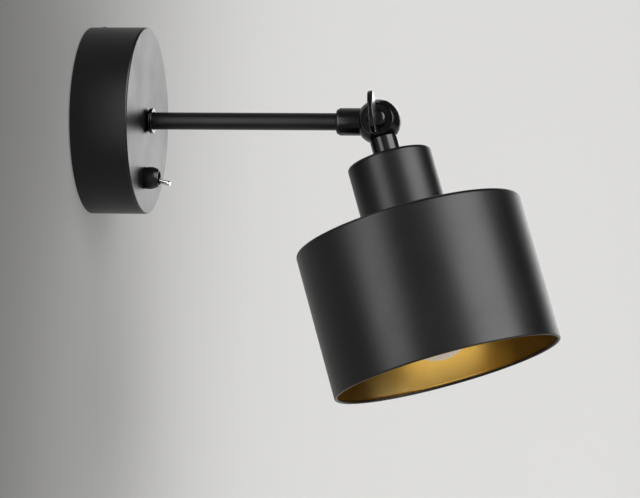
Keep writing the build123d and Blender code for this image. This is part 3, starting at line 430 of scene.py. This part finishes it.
# %% [markdown]
# ## The canopy
# The canopy is a pressed steel drum, 108 mm across and 33 mm deep, open at the back. Its front edge is a
# small radius that catches one thin line of light. The outline is drawn once, outside and inside, and
# spun, with the arm's hole left in the middle. The radius is drawn as an arc, because a bevel of a thin
# wall would eat it.

# %% Canopy drum
CANOPY_R, CANOPY_DEPTH, CANOPY_WALL, CANOPY_EDGE = 54.2, 33.0, 1.2, 1.4
ARM_HOLE_R = 5.2
canopy_inside = CANOPY_R - CANOPY_WALL
bend = (CANOPY_R - CANOPY_EDGE, CANOPY_DEPTH - CANOPY_EDGE)
canopy_outline = [(canopy_inside, 0.15), (canopy_inside + 0.2, 0), (CANOPY_R - 0.2, 0), (CANOPY_R, 0.2)]
canopy_outline += arc(bend, CANOPY_EDGE, 0, 90, 8)
canopy_outline += [(ARM_HOLE_R, CANOPY_DEPTH), (ARM_HOLE_R, CANOPY_DEPTH - CANOPY_WALL)]
canopy_outline += arc(bend, CANOPY_EDGE - CANOPY_WALL, 90, 0, 3)
turned("canopy_drum", canopy_outline, OUT_OF_WALL, "wall_arm", satin_black, ["canopy_cover"],
       edge=0, steps=192)

# %% [markdown]
# ## The arm, its collar and the knuckle's far half
# The arm is a plain 10 mm tube. A flared collar closes the hole in the canopy, and the other end sits in
# a socket that is one casting with half of the ball. Each is turned about the arm's axis. The half ball
# is turned about the hinge's axis and overlaps the socket, as the pattern for such a casting is glued up.

# %% Arm tube
TUBE_R, TUBE_BORE_R, TUBE_START, TUBE_END = 5.0, 4.0, 20.5, 153.4
tube_outline = [(TUBE_BORE_R, TUBE_START), (TUBE_R, TUBE_START), (TUBE_R, TUBE_END), (TUBE_BORE_R, TUBE_END)]
turned("arm_rod", tube_outline, OUT_OF_WALL, "wall_arm", satin_black, ["arm_tube"],
       edge=0.15, steps=96)

# %% Collar
COLLAR_R, COLLAR_BORE_R, COLLAR_TOP = 7.5, 5.03, 36.4
collar_outline = [
    (COLLAR_BORE_R, CANOPY_DEPTH), (COLLAR_R - 1.5, CANOPY_DEPTH), (COLLAR_R - 0.4, COLLAR_TOP - 2.0),
    (COLLAR_R, COLLAR_TOP - 1.7), (COLLAR_R, COLLAR_TOP - 1.4), (COLLAR_R - 0.6, COLLAR_TOP - 1.0),
    (COLLAR_R, COLLAR_TOP - 0.6), (COLLAR_R, COLLAR_TOP - 0.3), (COLLAR_R - 0.4, COLLAR_TOP),
    (COLLAR_BORE_R + 0.47, COLLAR_TOP), (COLLAR_BORE_R, COLLAR_TOP - 0.5)]
turned("collar", collar_outline, OUT_OF_WALL, "wall_arm", gloss_black, ["arm_collar"],
       edge=0.12, steps=96)

# %% Far half of the knuckle
BALL_R, HALF_GAP, SOCKET_R, SOCKET_START, SOCKET_BORE_R = 13.0, 0.25, 8.0, 9.9, 5.05
FERRULE_END, FERRULE_CHAMFER, FERRULE_TAPER, TUBE_SEAT, CAST_ROUND = 24.0, 2.0, 1.0, 15.0, 0.25
BALL_EDGE = 0.15
far_half = bmesh.new()
ball_far = [(0, HALF_GAP), (BALL_R - BALL_EDGE, HALF_GAP)] + arc((0, 0), BALL_R, 2, 86, 28)
ball_far += [(0, BALL_R)]
spin_outline(far_half, ball_far, 96, closed=False)
bmesh.ops.transform(far_half, matrix=Matrix.Scale(-1, 4, (0, 0, 1)), verts=far_half.verts)
bmesh.ops.recalc_face_normals(far_half, faces=far_half.faces)
socket = bmesh.new()
socket_outline = [
    (0, SOCKET_START), (SOCKET_R, SOCKET_START), (SOCKET_R, FERRULE_END - FERRULE_CHAMFER),
    (SOCKET_R - FERRULE_TAPER, FERRULE_END), (SOCKET_BORE_R, FERRULE_END), (SOCKET_BORE_R, TUBE_SEAT),
    (0, TUBE_SEAT)]
spin_outline(socket, socket_outline, 96, closed=False)
soften(socket, CAST_ROUND)
bmesh.ops.transform(far_half, matrix=HINGE, verts=far_half.verts)
bmesh.ops.transform(socket, matrix=TO_WALL, verts=socket.verts)
piece("knuckle_far_half", merged(far_half, socket), Matrix.Identity(4), "wall_arm",
      [gloss_black], ["knuckle_arm_half"])

# %% [markdown]
# ## The near half, with the stem
# The near half has a round recess for the thumb screw's hub and washers. In an outline turned about the
# hinge, the recess is just a step down from the sphere. The stem below it is a plain cylinder with a
# crisp lower end on the cup.

# %% Near half of the knuckle
RECESS_R, RECESS_FLOOR, RECESS_ROUND, CLAMP_HOLE_R = 9.0, 8.0, 0.45, 2.6
STEM_END, NIPPLE_SEAT = 22.2, 14.0
near_half = bmesh.new()
rim_angle = math.degrees(math.acos(RECESS_R / BALL_R))
ball_near = [(CLAMP_HOLE_R, HALF_GAP), (BALL_R - BALL_EDGE, HALF_GAP)]
ball_near += arc((0, 0), BALL_R, 0, rim_angle, 16)[1:]
ball_near += [(RECESS_R, RECESS_FLOOR), (CLAMP_HOLE_R, RECESS_FLOOR)]
spin_outline(near_half, ball_near, 96)
soften(near_half, RECESS_ROUND, segments=4, sharper_than=40)
bmesh.ops.transform(near_half, matrix=HINGE, verts=near_half.verts)
stem = bmesh.new()
stem_outline = [
    (0, SOCKET_START), (SOCKET_R, SOCKET_START), (SOCKET_R, STEM_END), (SOCKET_BORE_R, STEM_END),
    (SOCKET_BORE_R, NIPPLE_SEAT), (0, NIPPLE_SEAT)]
spin_outline(stem, stem_outline, 96, closed=False)
soften(stem, CAST_ROUND)
bmesh.ops.transform(stem, matrix=DOWN_HEAD, verts=stem.verts)
piece("knuckle_near_half", merged(near_half, stem), Matrix.Identity(4), "head",
      [gloss_black], ["knuckle_head_half"])

# %% [markdown]
# ## The thumb screw
# A hand tightens the knuckle with a flat oval plate on a domed hub. The plate's outline is an oval that
# runs into a short neck. It is extruded to its thickness and softened round its rim, as a cast plate is,
# and the hub is turned.

# %% Thumb screw
OVAL_WIDE, OVAL_DEEP, OVAL_MIDDLE = 24.2, 15.6, 28.0
OVAL_FROM, OVAL_TO = -38, 218
PLATE_THICK, PLATE_TURN, PLATE_ROUND = 3.0, 6.0, 0.8
NECK_HALF, NECK_START, NECK_FLARE = 4.5, 12.5, 14.6
HUB_R, HUB_SEAT, HUB_TOP, HUB_ROUND, SHANK_R, SHANK_END = 5.8, 10.1, 13.5, 2.38, 2.5, -9.6
plate_mesh = bmesh.new()
unit_arc = arc((0, 0), 1.0, OVAL_FROM, OVAL_TO, 56)
oval = [(x * OVAL_WIDE / 2, OVAL_MIDDLE + y * OVAL_DEEP / 2) for x, y in unit_arc]
neck = [(-NECK_HALF - 0.4, NECK_FLARE), (-NECK_HALF, NECK_START), (NECK_HALF, NECK_START),
        (NECK_HALF + 0.4, NECK_FLARE)]
plate_mesh.faces.new([plate_mesh.verts.new((x, 0, y)) for x, y in oval + neck])
grown = bmesh.ops.extrude_face_region(plate_mesh, geom=list(plate_mesh.faces))
other_face = [v for v in grown["geom"] if isinstance(v, bmesh.types.BMVert)]
bmesh.ops.translate(plate_mesh, vec=(0, PLATE_THICK, 0), verts=other_face)
bmesh.ops.translate(plate_mesh, vec=(0, -PLATE_THICK / 2, 0), verts=plate_mesh.verts)
bmesh.ops.recalc_face_normals(plate_mesh, faces=plate_mesh.faces)
soften(plate_mesh, PLATE_ROUND, segments=5, sharper_than=60)
turn = Matrix.Rotation(math.radians(PLATE_TURN), 3, "Z")
bmesh.ops.rotate(plate_mesh, cent=(0, 0, 0), matrix=turn, verts=plate_mesh.verts)
hub = bmesh.new()
hub_outline = [(0, SHANK_END), (SHANK_R - 0.4, SHANK_END), (SHANK_R, SHANK_END + 0.4), (SHANK_R, HUB_SEAT),
               (HUB_R - 0.1, HUB_SEAT), (HUB_R, HUB_SEAT + 0.1), (HUB_R, HUB_TOP - HUB_ROUND - 0.02)]
hub_outline += arc((HUB_R - HUB_ROUND, HUB_TOP - HUB_ROUND), HUB_ROUND, 0, 90, 10)[1:]
spin_outline(hub, hub_outline + [(0, HUB_TOP)], 64, closed=False)
piece("wing_screw_body", merged(plate_mesh, hub), HINGE, "wing_screw", [gloss_black],
      ["wing_screw"])

# %% [markdown]
# ## Cup and shade
# Both are spun from sheet: a flat top, a small radius and a straight wall. The shade's mouth is rolled
# into a thin round hem that shines as a fine line. The shade is one shell with two finishes, and the
# faces choose: what looks towards the axis or down inside is gold, the rest is black.

# %% Cup
CUP_R, CUP_END, CUP_WALL, CUP_EDGE, NIPPLE_HOLE_R = 24.6, 63.3, 1.1, 2.2, 5.2
cup_bend = (CUP_R - CUP_EDGE, STEM_END + CUP_EDGE)
cup_outline = [(NIPPLE_HOLE_R, STEM_END), (CUP_R - CUP_EDGE, STEM_END)]
cup_outline += arc(cup_bend, CUP_EDGE, -90, 0, 8)[1:]
cup_outline += [(CUP_R, CUP_END - 0.1), (CUP_R - 0.1, CUP_END), (CUP_R - CUP_WALL, CUP_END)]
cup_outline += arc(cup_bend, CUP_EDGE - CUP_WALL, 0, -90, 5)
cup_outline += [(NIPPLE_HOLE_R, STEM_END + CUP_WALL)]
turned("cup_drum", cup_outline, DOWN_HEAD, "head", satin_black, ["lamp_cup"],
       edge=0, steps=160)

# %% Shade
SHADE_R, SHADE_END, SHADE_WALL, SHADE_EDGE = 66.0, 149.0, 1.0, 2.2
HOLDER_HOLE_R, HEM, HEM_DEPTH = 20.0, 0.9, 2.6
shade_bend = (SHADE_R - SHADE_EDGE, CUP_END + SHADE_EDGE)
shade_outline = [(HOLDER_HOLE_R, CUP_END), (SHADE_R - SHADE_EDGE, CUP_END)]
shade_outline += arc(shade_bend, SHADE_EDGE, -90, 0, 8)[1:]
shade_outline += arc((SHADE_R - HEM, SHADE_END - HEM), HEM, 0, 225, 12)
shade_outline += [(SHADE_R - SHADE_WALL, SHADE_END - HEM_DEPTH)]
shade_outline += arc(shade_bend, SHADE_EDGE - SHADE_WALL, 0, -90, 5)
shade_outline += [(HOLDER_HOLE_R, CUP_END + SHADE_WALL)]
shade_mesh = bmesh.new()
spin_outline(shade_mesh, shade_outline, 224)
UNDER_TOP, PAINT_ENDS = CUP_END + 4, SHADE_END - 1.3 * HEM
for face in shade_mesh.faces:
    middle = face.calc_center_median()
    outward = Vector((middle.x, middle.y, 0)).normalized()
    faces_axis = face.normal.dot(outward) < -0.3
    faces_down = face.normal.z > 0.5 and middle.z < UNDER_TOP
    face.material_index = int((faces_axis or faces_down) and middle.z < PAINT_ENDS)
piece("shade_drum", shade_mesh, DOWN_HEAD, "head", [satin_black, matt_gold], ["shade"])

# %% [markdown]
# ## The lampholder's sleeve and the bulb
# From below, the shade's mouth shows the threaded sleeve, the notched ring that clamps the shade on it,
# and the bulb. A thread is a spin that climbs: the outline of one turn is swept round several times with
# a small step up each time. The globe is a sphere that flares into its neck. The ring comes from the
# frame as it is.

# %% A climbing thread
THREAD_STEPS, THREAD_SAME_POINT = 48, 1e-4


def thread(mesh, root, crest, pitch, turns, start):
    """A thread's skin round local Z, as many turns as asked, between two radii."""
    marks = [(root, 0.0), (root, 0.18), (crest, 0.42), (crest, 0.62), (root, 0.88), (root, 1.0)]
    verts = [mesh.verts.new((radius, 0, start + pitch * share)) for radius, share in marks]
    edges = [mesh.edges.new(pair) for pair in zip(verts, verts[1:])]
    bmesh.ops.spin(mesh, geom=verts + edges, cent=(0, 0, 0), axis=(0, 0, 1),
                   dvec=(0, 0, pitch / THREAD_STEPS), angle=2 * math.pi * turns,
                   steps=THREAD_STEPS * turns, use_merge=False, use_duplicate=False)
    bmesh.ops.remove_doubles(mesh, verts=mesh.verts, dist=THREAD_SAME_POINT)


# %% Sleeve and its mouth
SLEEVE_R, SLEEVE_BORE_R, SLEEVE_START, SLEEVE_END = 19.3, 17.4, 54.0, 94.0
SLEEVE_ROOT, SLEEVE_CREST, SLEEVE_PITCH, SLEEVE_TURNS, SLEEVE_THREAD = 19.05, 19.75, 3.0, 6, 71.5
MOUTH_R, MOUTH_BORE_R, MOUTH_START, MOUTH_CHAMFER, SLEEVE_ROUND = 19.8, 17.5, 91.2, 0.6, 0.2
sleeve = bmesh.new()
thread(sleeve, SLEEVE_ROOT, SLEEVE_CREST, SLEEVE_PITCH, SLEEVE_TURNS, SLEEVE_THREAD)
core = bmesh.new()
core_outline = [
    (SLEEVE_BORE_R, SLEEVE_START), (SLEEVE_R - 0.3, SLEEVE_START), (SLEEVE_R, SLEEVE_START + 8.0),
    (SLEEVE_R, SLEEVE_END - MOUTH_CHAMFER), (SLEEVE_R - MOUTH_CHAMFER, SLEEVE_END),
    (SLEEVE_BORE_R, SLEEVE_END)]
spin_outline(core, core_outline, 96)
soften(core, SLEEVE_ROUND)
mouth = bmesh.new()
mouth_outline = [
    (MOUTH_BORE_R, MOUTH_START), (MOUTH_R, MOUTH_START), (MOUTH_R, SLEEVE_END - MOUTH_CHAMFER),
    (MOUTH_R - MOUTH_CHAMFER, SLEEVE_END), (MOUTH_BORE_R, SLEEVE_END)]
spin_outline(mouth, mouth_outline, 96)
soften(mouth, SLEEVE_ROUND)
piece("holder_thread", merged(merged(sleeve, core), mouth), DOWN_HEAD, "head",
      [holder_plastic], ["holder_sleeve"])

# %% Bulb globe
BULB_R, BULB_TIP, NECK_R, NECK_END = 22.5, 142.5, 11.6, 90.2
GLOBE_FROM, GLOBE_TO = -48, 84
globe = [(NECK_R, NECK_END), (NECK_R + 0.3, NECK_END + 4.0), (NECK_R + 1.4, NECK_END + 8.6)]
globe += arc((0, BULB_TIP - BULB_R), BULB_R, GLOBE_FROM, GLOBE_TO, 22)
globe += [(0, BULB_TIP)]
globe_mesh = bmesh.new()
spin_outline(globe_mesh, globe, 96, closed=False)
globe_piece = piece("bulb_globe", globe_mesh, DOWN_HEAD, "head", [frosted],
                    ["bulb_glass"])
smoother = globe_piece.modifiers.new("smoother", "SUBSURF")
smoother.levels = smoother.render_levels = 1

# %% Bulb cap
CAP_R, CAP_BORE_R, CAP_START, CAP_TAPER, CAP_END = 12.4, 10.3, 70.7, 1.7, 93.2
CAP_ROOT, CAP_CREST, CAP_PITCH, CAP_TURNS, CAP_THREAD = 12.35, 13.05, 2.9, 5, 72.6
cap = bmesh.new()
thread(cap, CAP_ROOT, CAP_CREST, CAP_PITCH, CAP_TURNS, CAP_THREAD)
cap_core = bmesh.new()
cap_outline = [(CAP_BORE_R, CAP_START), (CAP_R, CAP_START + CAP_TAPER), (CAP_R, CAP_END),
               (CAP_BORE_R, CAP_END)]
spin_outline(cap_core, cap_outline, 96)
piece("bulb_screw_cap", merged(cap, cap_core), DOWN_HEAD, "head", [cap_nickel],
      ["bulb_cap"])

# %% [markdown]
# ## The toggle switch
# A bullet-shaped plastic nut covers the switch's bush, and a nickel-plated bat lever comes out of its
# mouth and points down. The nut's curve is an arc that leaves the straight part smoothly, so the
# highlight on it has no kink.

# %% Dress nut
DRESS_R, DRESS_FRONT_R, DRESS_RISE, DRESS_STRAIGHT_END = 6.4, 4.6, 4.6, 36.7
DRESS_BORE_R, DRESS_MOUTH_R, DRESS_THREAD_END, DRESS_GROOVE = 3.05, 3.9, 37.0, 0.3
dress_front = DRESS_STRAIGHT_END + DRESS_RISE
drop = DRESS_R - DRESS_FRONT_R
bow = (DRESS_RISE * DRESS_RISE + drop * drop) / (2 * drop)
sweep_angle = math.degrees(math.asin(DRESS_RISE / bow))
groove_r = DRESS_R - DRESS_GROOVE
nut_outline = [
    (DRESS_BORE_R, CANOPY_DEPTH), (groove_r, CANOPY_DEPTH), (DRESS_R, CANOPY_DEPTH + 0.3),
    (DRESS_R, CANOPY_DEPTH + 1.0), (groove_r, CANOPY_DEPTH + 1.1), (groove_r, CANOPY_DEPTH + 1.3),
    (DRESS_R, CANOPY_DEPTH + 1.4)]
nut_outline += arc((DRESS_R - bow, DRESS_STRAIGHT_END), bow, 0, sweep_angle, 12)
nut_outline += [
    (DRESS_MOUTH_R + 0.3, dress_front), (DRESS_MOUTH_R, dress_front - 0.3),
    (DRESS_MOUTH_R, DRESS_THREAD_END), (DRESS_BORE_R, DRESS_THREAD_END)]
turned("dress_nut", nut_outline, SWITCH, "wall_arm", black_plastic,
       ["switch_dress_nut"], edge=0, steps=96)

# %% Lever
LEVER_PIVOT, LEVER_ANGLE, LEVER_BALL_R, LEVER_TIP_R, LEVER_LENGTH = 35.5, 15, 2.2, 1.5, 13.0
lean = Matrix.Rotation(math.radians(LEVER_ANGLE), 4, "X")
lever_frame = SWITCH @ Matrix.Translation((0, 0, LEVER_PIVOT)) @ lean
bat = [(0, -3.1), (0.6, -3.1), (0.8, -2.9), (0.8, -LEVER_BALL_R)]
bat += arc((0, 0), LEVER_BALL_R, -65, 51, 12)
bat += [(1.31, 2.1), (1.33, 5.9), (1.4, 8.6), (1.48, 11.2), (LEVER_TIP_R, LEVER_LENGTH - 1.0)]
bat += [(1.42, LEVER_LENGTH - 0.4), (1.2, LEVER_LENGTH - 0.1), (0.7, LEVER_LENGTH),
        (0, LEVER_LENGTH - 0.3)]
turned("bat_lever", bat, lever_frame, "toggle_lever", nickel_plate, ["toggle_lever"],
       edge=0, steps=48)

# %% [markdown]
# ## Pieces that keep their measured shape
# Nuts, washers, the bracket, the terminal block and the wires are already right in the frame. They keep
# their meshes and get their finishes, so that the open back of the canopy is as true as the front.

# %% Finishes for the other nodes
kept = (
    (gloss_black, ("canopy_screw", "knuckle_flat_washer")),
    (zinc_plate, (
        "canopy_peg", "wall_bracket", "terminal_screws", "earth_screw", "arm_tooth_washer",
        "arm_lock_nut", "knuckle_spring_washer", "stem_nipple", "cup_tooth_washer", "cup_lock_nut",
        "holder_terminal_screws", "switch_tooth_washer")),
    (plain_brass, ("terminal_barrels", "holder_screw_shell", "holder_centre_contact")),
    (tinned, ("earth_tags", "bulb_contact", "switch_tags")),
    (nickel_plate, ("switch_bush", "switch_inner_nut")),
    (white_nylon, ("terminal_block",)),
    (dark_fibre, ("friction_washer",)),
    (holder_plastic, ("shade_ring", "holder_cap")),
    (black_plastic, ("switch_body",)),
    (glazed_white, ("holder_insert",)),
    (black_glass, ("bulb_insulator",)),
    (clear_glass, ("bulb_mount",)),
    (phosphor, ("bulb_filaments",)),
    (brown_sheath, ("line_wire", "switched_wire", "head_wires")),
    (blue_sheath, ("neutral_wire",)),
    (earth_sheath, ("earth_wire",)),
)
finished = set()
for material, nodes in kept:
    finished.update(nodes)
    for node in nodes:
        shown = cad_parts[node]
        if not shown.material_slots:
            shown.data.materials.append(material)
        for place in shown.material_slots:
            place.material = material
print("kept nodes", len(finished), "without a finish",
      sorted(n for n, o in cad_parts.items() if n not in finished and not o.hide_render))

# %% [markdown]
# ## The room
# The photograph's whole background is the wall: grey where the lamp hangs and nearly white further along.
# The wall here is one large sheet just behind the canopy, coloured from grey to white along its length. The
# grey where the lamp hangs is painted shade, and the rise to white is painted light.
# It shines a little itself, so that the lamp's shadow on it stays soft. Both it and the floor are clear
# from behind, so the lamp's back can still be looked at.

# %% Wall and floor
def sheet_of_room(name, width, height, place, material):
    """A flat sheet of the room, fixed to none of the lamp's bodies."""
    mesh = bmesh.new()
    bmesh.ops.create_grid(mesh, x_segments=1, y_segments=1, size=0.5)
    bmesh.ops.scale(mesh, vec=(width, height, 1), verts=mesh.verts)
    bmesh.ops.transform(mesh, matrix=place, verts=mesh.verts)
    data = bpy.data.meshes.new(name)
    mesh.to_mesh(data)
    mesh.free()
    made = bpy.data.objects.new(name, data)
    data.materials.append(material)
    bpy.context.scene.collection.objects.link(made)


WARM_TINT = (1.0, 0.992, 0.975)


def one_sided(name, stops, own_light=0.0):
    """Paint that is clear from behind. The stops are (distance along X in metres, grey level). With a light
    of its own it also shines a little, so that shadows on it stay soft."""
    material = bpy.data.materials.new(name)
    material.use_nodes = True
    tree = material.node_tree
    skin = tree.nodes["Principled BSDF"]
    skin.inputs["Roughness"].default_value = 0.9
    skin.inputs["Specular IOR Level"].default_value = 0.1
    where = add(tree, "ShaderNodeTexCoord")
    split = add(tree, "ShaderNodeSeparateXYZ")
    ramp = add(tree, "ShaderNodeValToRGB")
    low, high = stops[0][0], stops[-1][0]
    marks = ramp.color_ramp.elements
    marks.remove(marks[1])
    ramp.color_ramp.interpolation = "B_SPLINE"
    for along, grey in stops:
        spot = (along - low) / (high - low)
        mark = marks[0] if spot == 0 else marks.new(spot)
        mark.color = (*(grey * share for share in WARM_TINT), 1)
    tree.links.new(where.outputs["Object"], split.inputs["Vector"])
    tree.links.new(remap(tree, split.outputs["X"], low, high, 0, 1), ramp.inputs["Fac"])
    tree.links.new(ramp.outputs["Color"], skin.inputs["Base Color"])
    tree.links.new(ramp.outputs["Color"], skin.inputs["Emission Color"])
    skin.inputs["Emission Strength"].default_value = own_light
    side = add(tree, "ShaderNodeNewGeometry")
    clear = add(tree, "ShaderNodeBsdfTransparent")
    choose = add(tree, "ShaderNodeMixShader")
    output = tree.nodes["Material Output"]
    tree.links.new(side.outputs["Backfacing"], choose.inputs[0])
    tree.links.new(skin.outputs["BSDF"], choose.inputs[1])
    tree.links.new(clear.outputs["BSDF"], choose.inputs[2])
    tree.links.new(choose.outputs["Shader"], output.inputs["Surface"])
    return material


ROOM_LENGTH, ROOM_MIDDLE, WALL_HEIGHT, FLOOR_DEPTH, FLOOR_LEVEL = 12.0, 3.0, 5.0, 6.0, -0.75
BEHIND_CANOPY = 0.0008
# The dark stops near the lamp and the rise to white far along are painted shade and painted light, standing
# for how light falls off along the wall.
wall_shade_stops = [(-0.5, 0.026), (-0.3, 0.038), (-0.15, 0.058), (0.0, 0.096), (0.15, 0.139),
              (0.3, 0.17), (0.5, 0.194), (0.8, 0.203), (1.4, 0.205)]
wall_paint_and_shade = one_sided("wall_paint_and_shade", wall_shade_stops, own_light=2.2)
floor_paint = one_sided("floor_paint", [(-3.0, 0.80), (3.0, 0.80)])
upright = Matrix.Rotation(math.radians(90), 4, "X")
wall_place = Matrix.Translation((ROOM_MIDDLE, BEHIND_CANOPY, 0.0)) @ upright
floor_place = Matrix.Translation((ROOM_MIDDLE, -FLOOR_DEPTH / 2, FLOOR_LEVEL))
sheet_of_room("wall", ROOM_LENGTH, WALL_HEIGHT, wall_place, wall_paint_and_shade)
sheet_of_room("floor", ROOM_LENGTH, FLOOR_DEPTH, floor_place, floor_paint)

# %% [markdown]
# ## Light
# Black gloss is drawn by what it mirrors. A wide window on the room's side gives the broad band on the
# right half of both drums, and one far along the wall gives the pale sheen on the canopy's face. A strip
# of light at the wall draws the band on their left half, and a weak glow beside the camera keeps the dark
# middle from going flat. All but the strip are suns with a wide angle, so that they light the lamp and
# the wall evenly from end to end.

# %% Lamps and world
def radiance_of_sun(name, azimuth, elevation, spread, radiance):
    """A round patch of sky, so many degrees across, that looks equally bright from everywhere."""
    lamp = bpy.data.lights.new(name, "SUN")
    lamp.angle = math.radians(spread)
    lamp.energy = radiance * math.pi * math.sin(math.radians(spread / 2)) ** 2
    made = bpy.data.objects.new(name, lamp)
    bpy.context.scene.collection.objects.link(made)
    around, above = math.radians(azimuth), math.radians(elevation)
    level = math.cos(above)
    towards = Vector((math.cos(around) * level, math.sin(around) * level, math.sin(above)))
    made.rotation_euler = towards.to_track_quat("Z", "Y").to_euler()


def soft_box(name, place, towards, width, height, radiance):
    """A rectangle of light that the camera itself doesn't see."""
    lamp = bpy.data.lights.new(name, "AREA")
    lamp.shape = "RECTANGLE"
    lamp.size, lamp.size_y = width, height
    lamp.energy = radiance * math.pi * width * height
    made = bpy.data.objects.new(name, lamp)
    bpy.context.scene.collection.objects.link(made)
    made.location = place
    made.rotation_euler = Vector(towards).to_track_quat("-Z", "Z").to_euler()
    made.visible_camera = False


radiance_of_sun("room_window", azimuth=-120, elevation=22, spread=50, radiance=6.2)
radiance_of_sun("far_window", azimuth=-12, elevation=12, spread=38, radiance=2.6)
radiance_of_sun("left_glow", azimuth=-165, elevation=12, spread=36, radiance=0.45)
soft_box("wall_side_strip", place=(-0.33, -0.004, -0.015), towards=(0, -1, 0), width=0.30, height=0.37,
         radiance=4.0)
world = bpy.data.worlds.new("room")
world.use_nodes = True
sky = world.node_tree.nodes["Background"]
sky.inputs["Color"].default_value = (1, 1, 1, 1)
sky.inputs["Strength"].default_value = 0.04
bpy.context.scene.world = world
bpy.context.scene.view_settings.view_transform = "Standard"
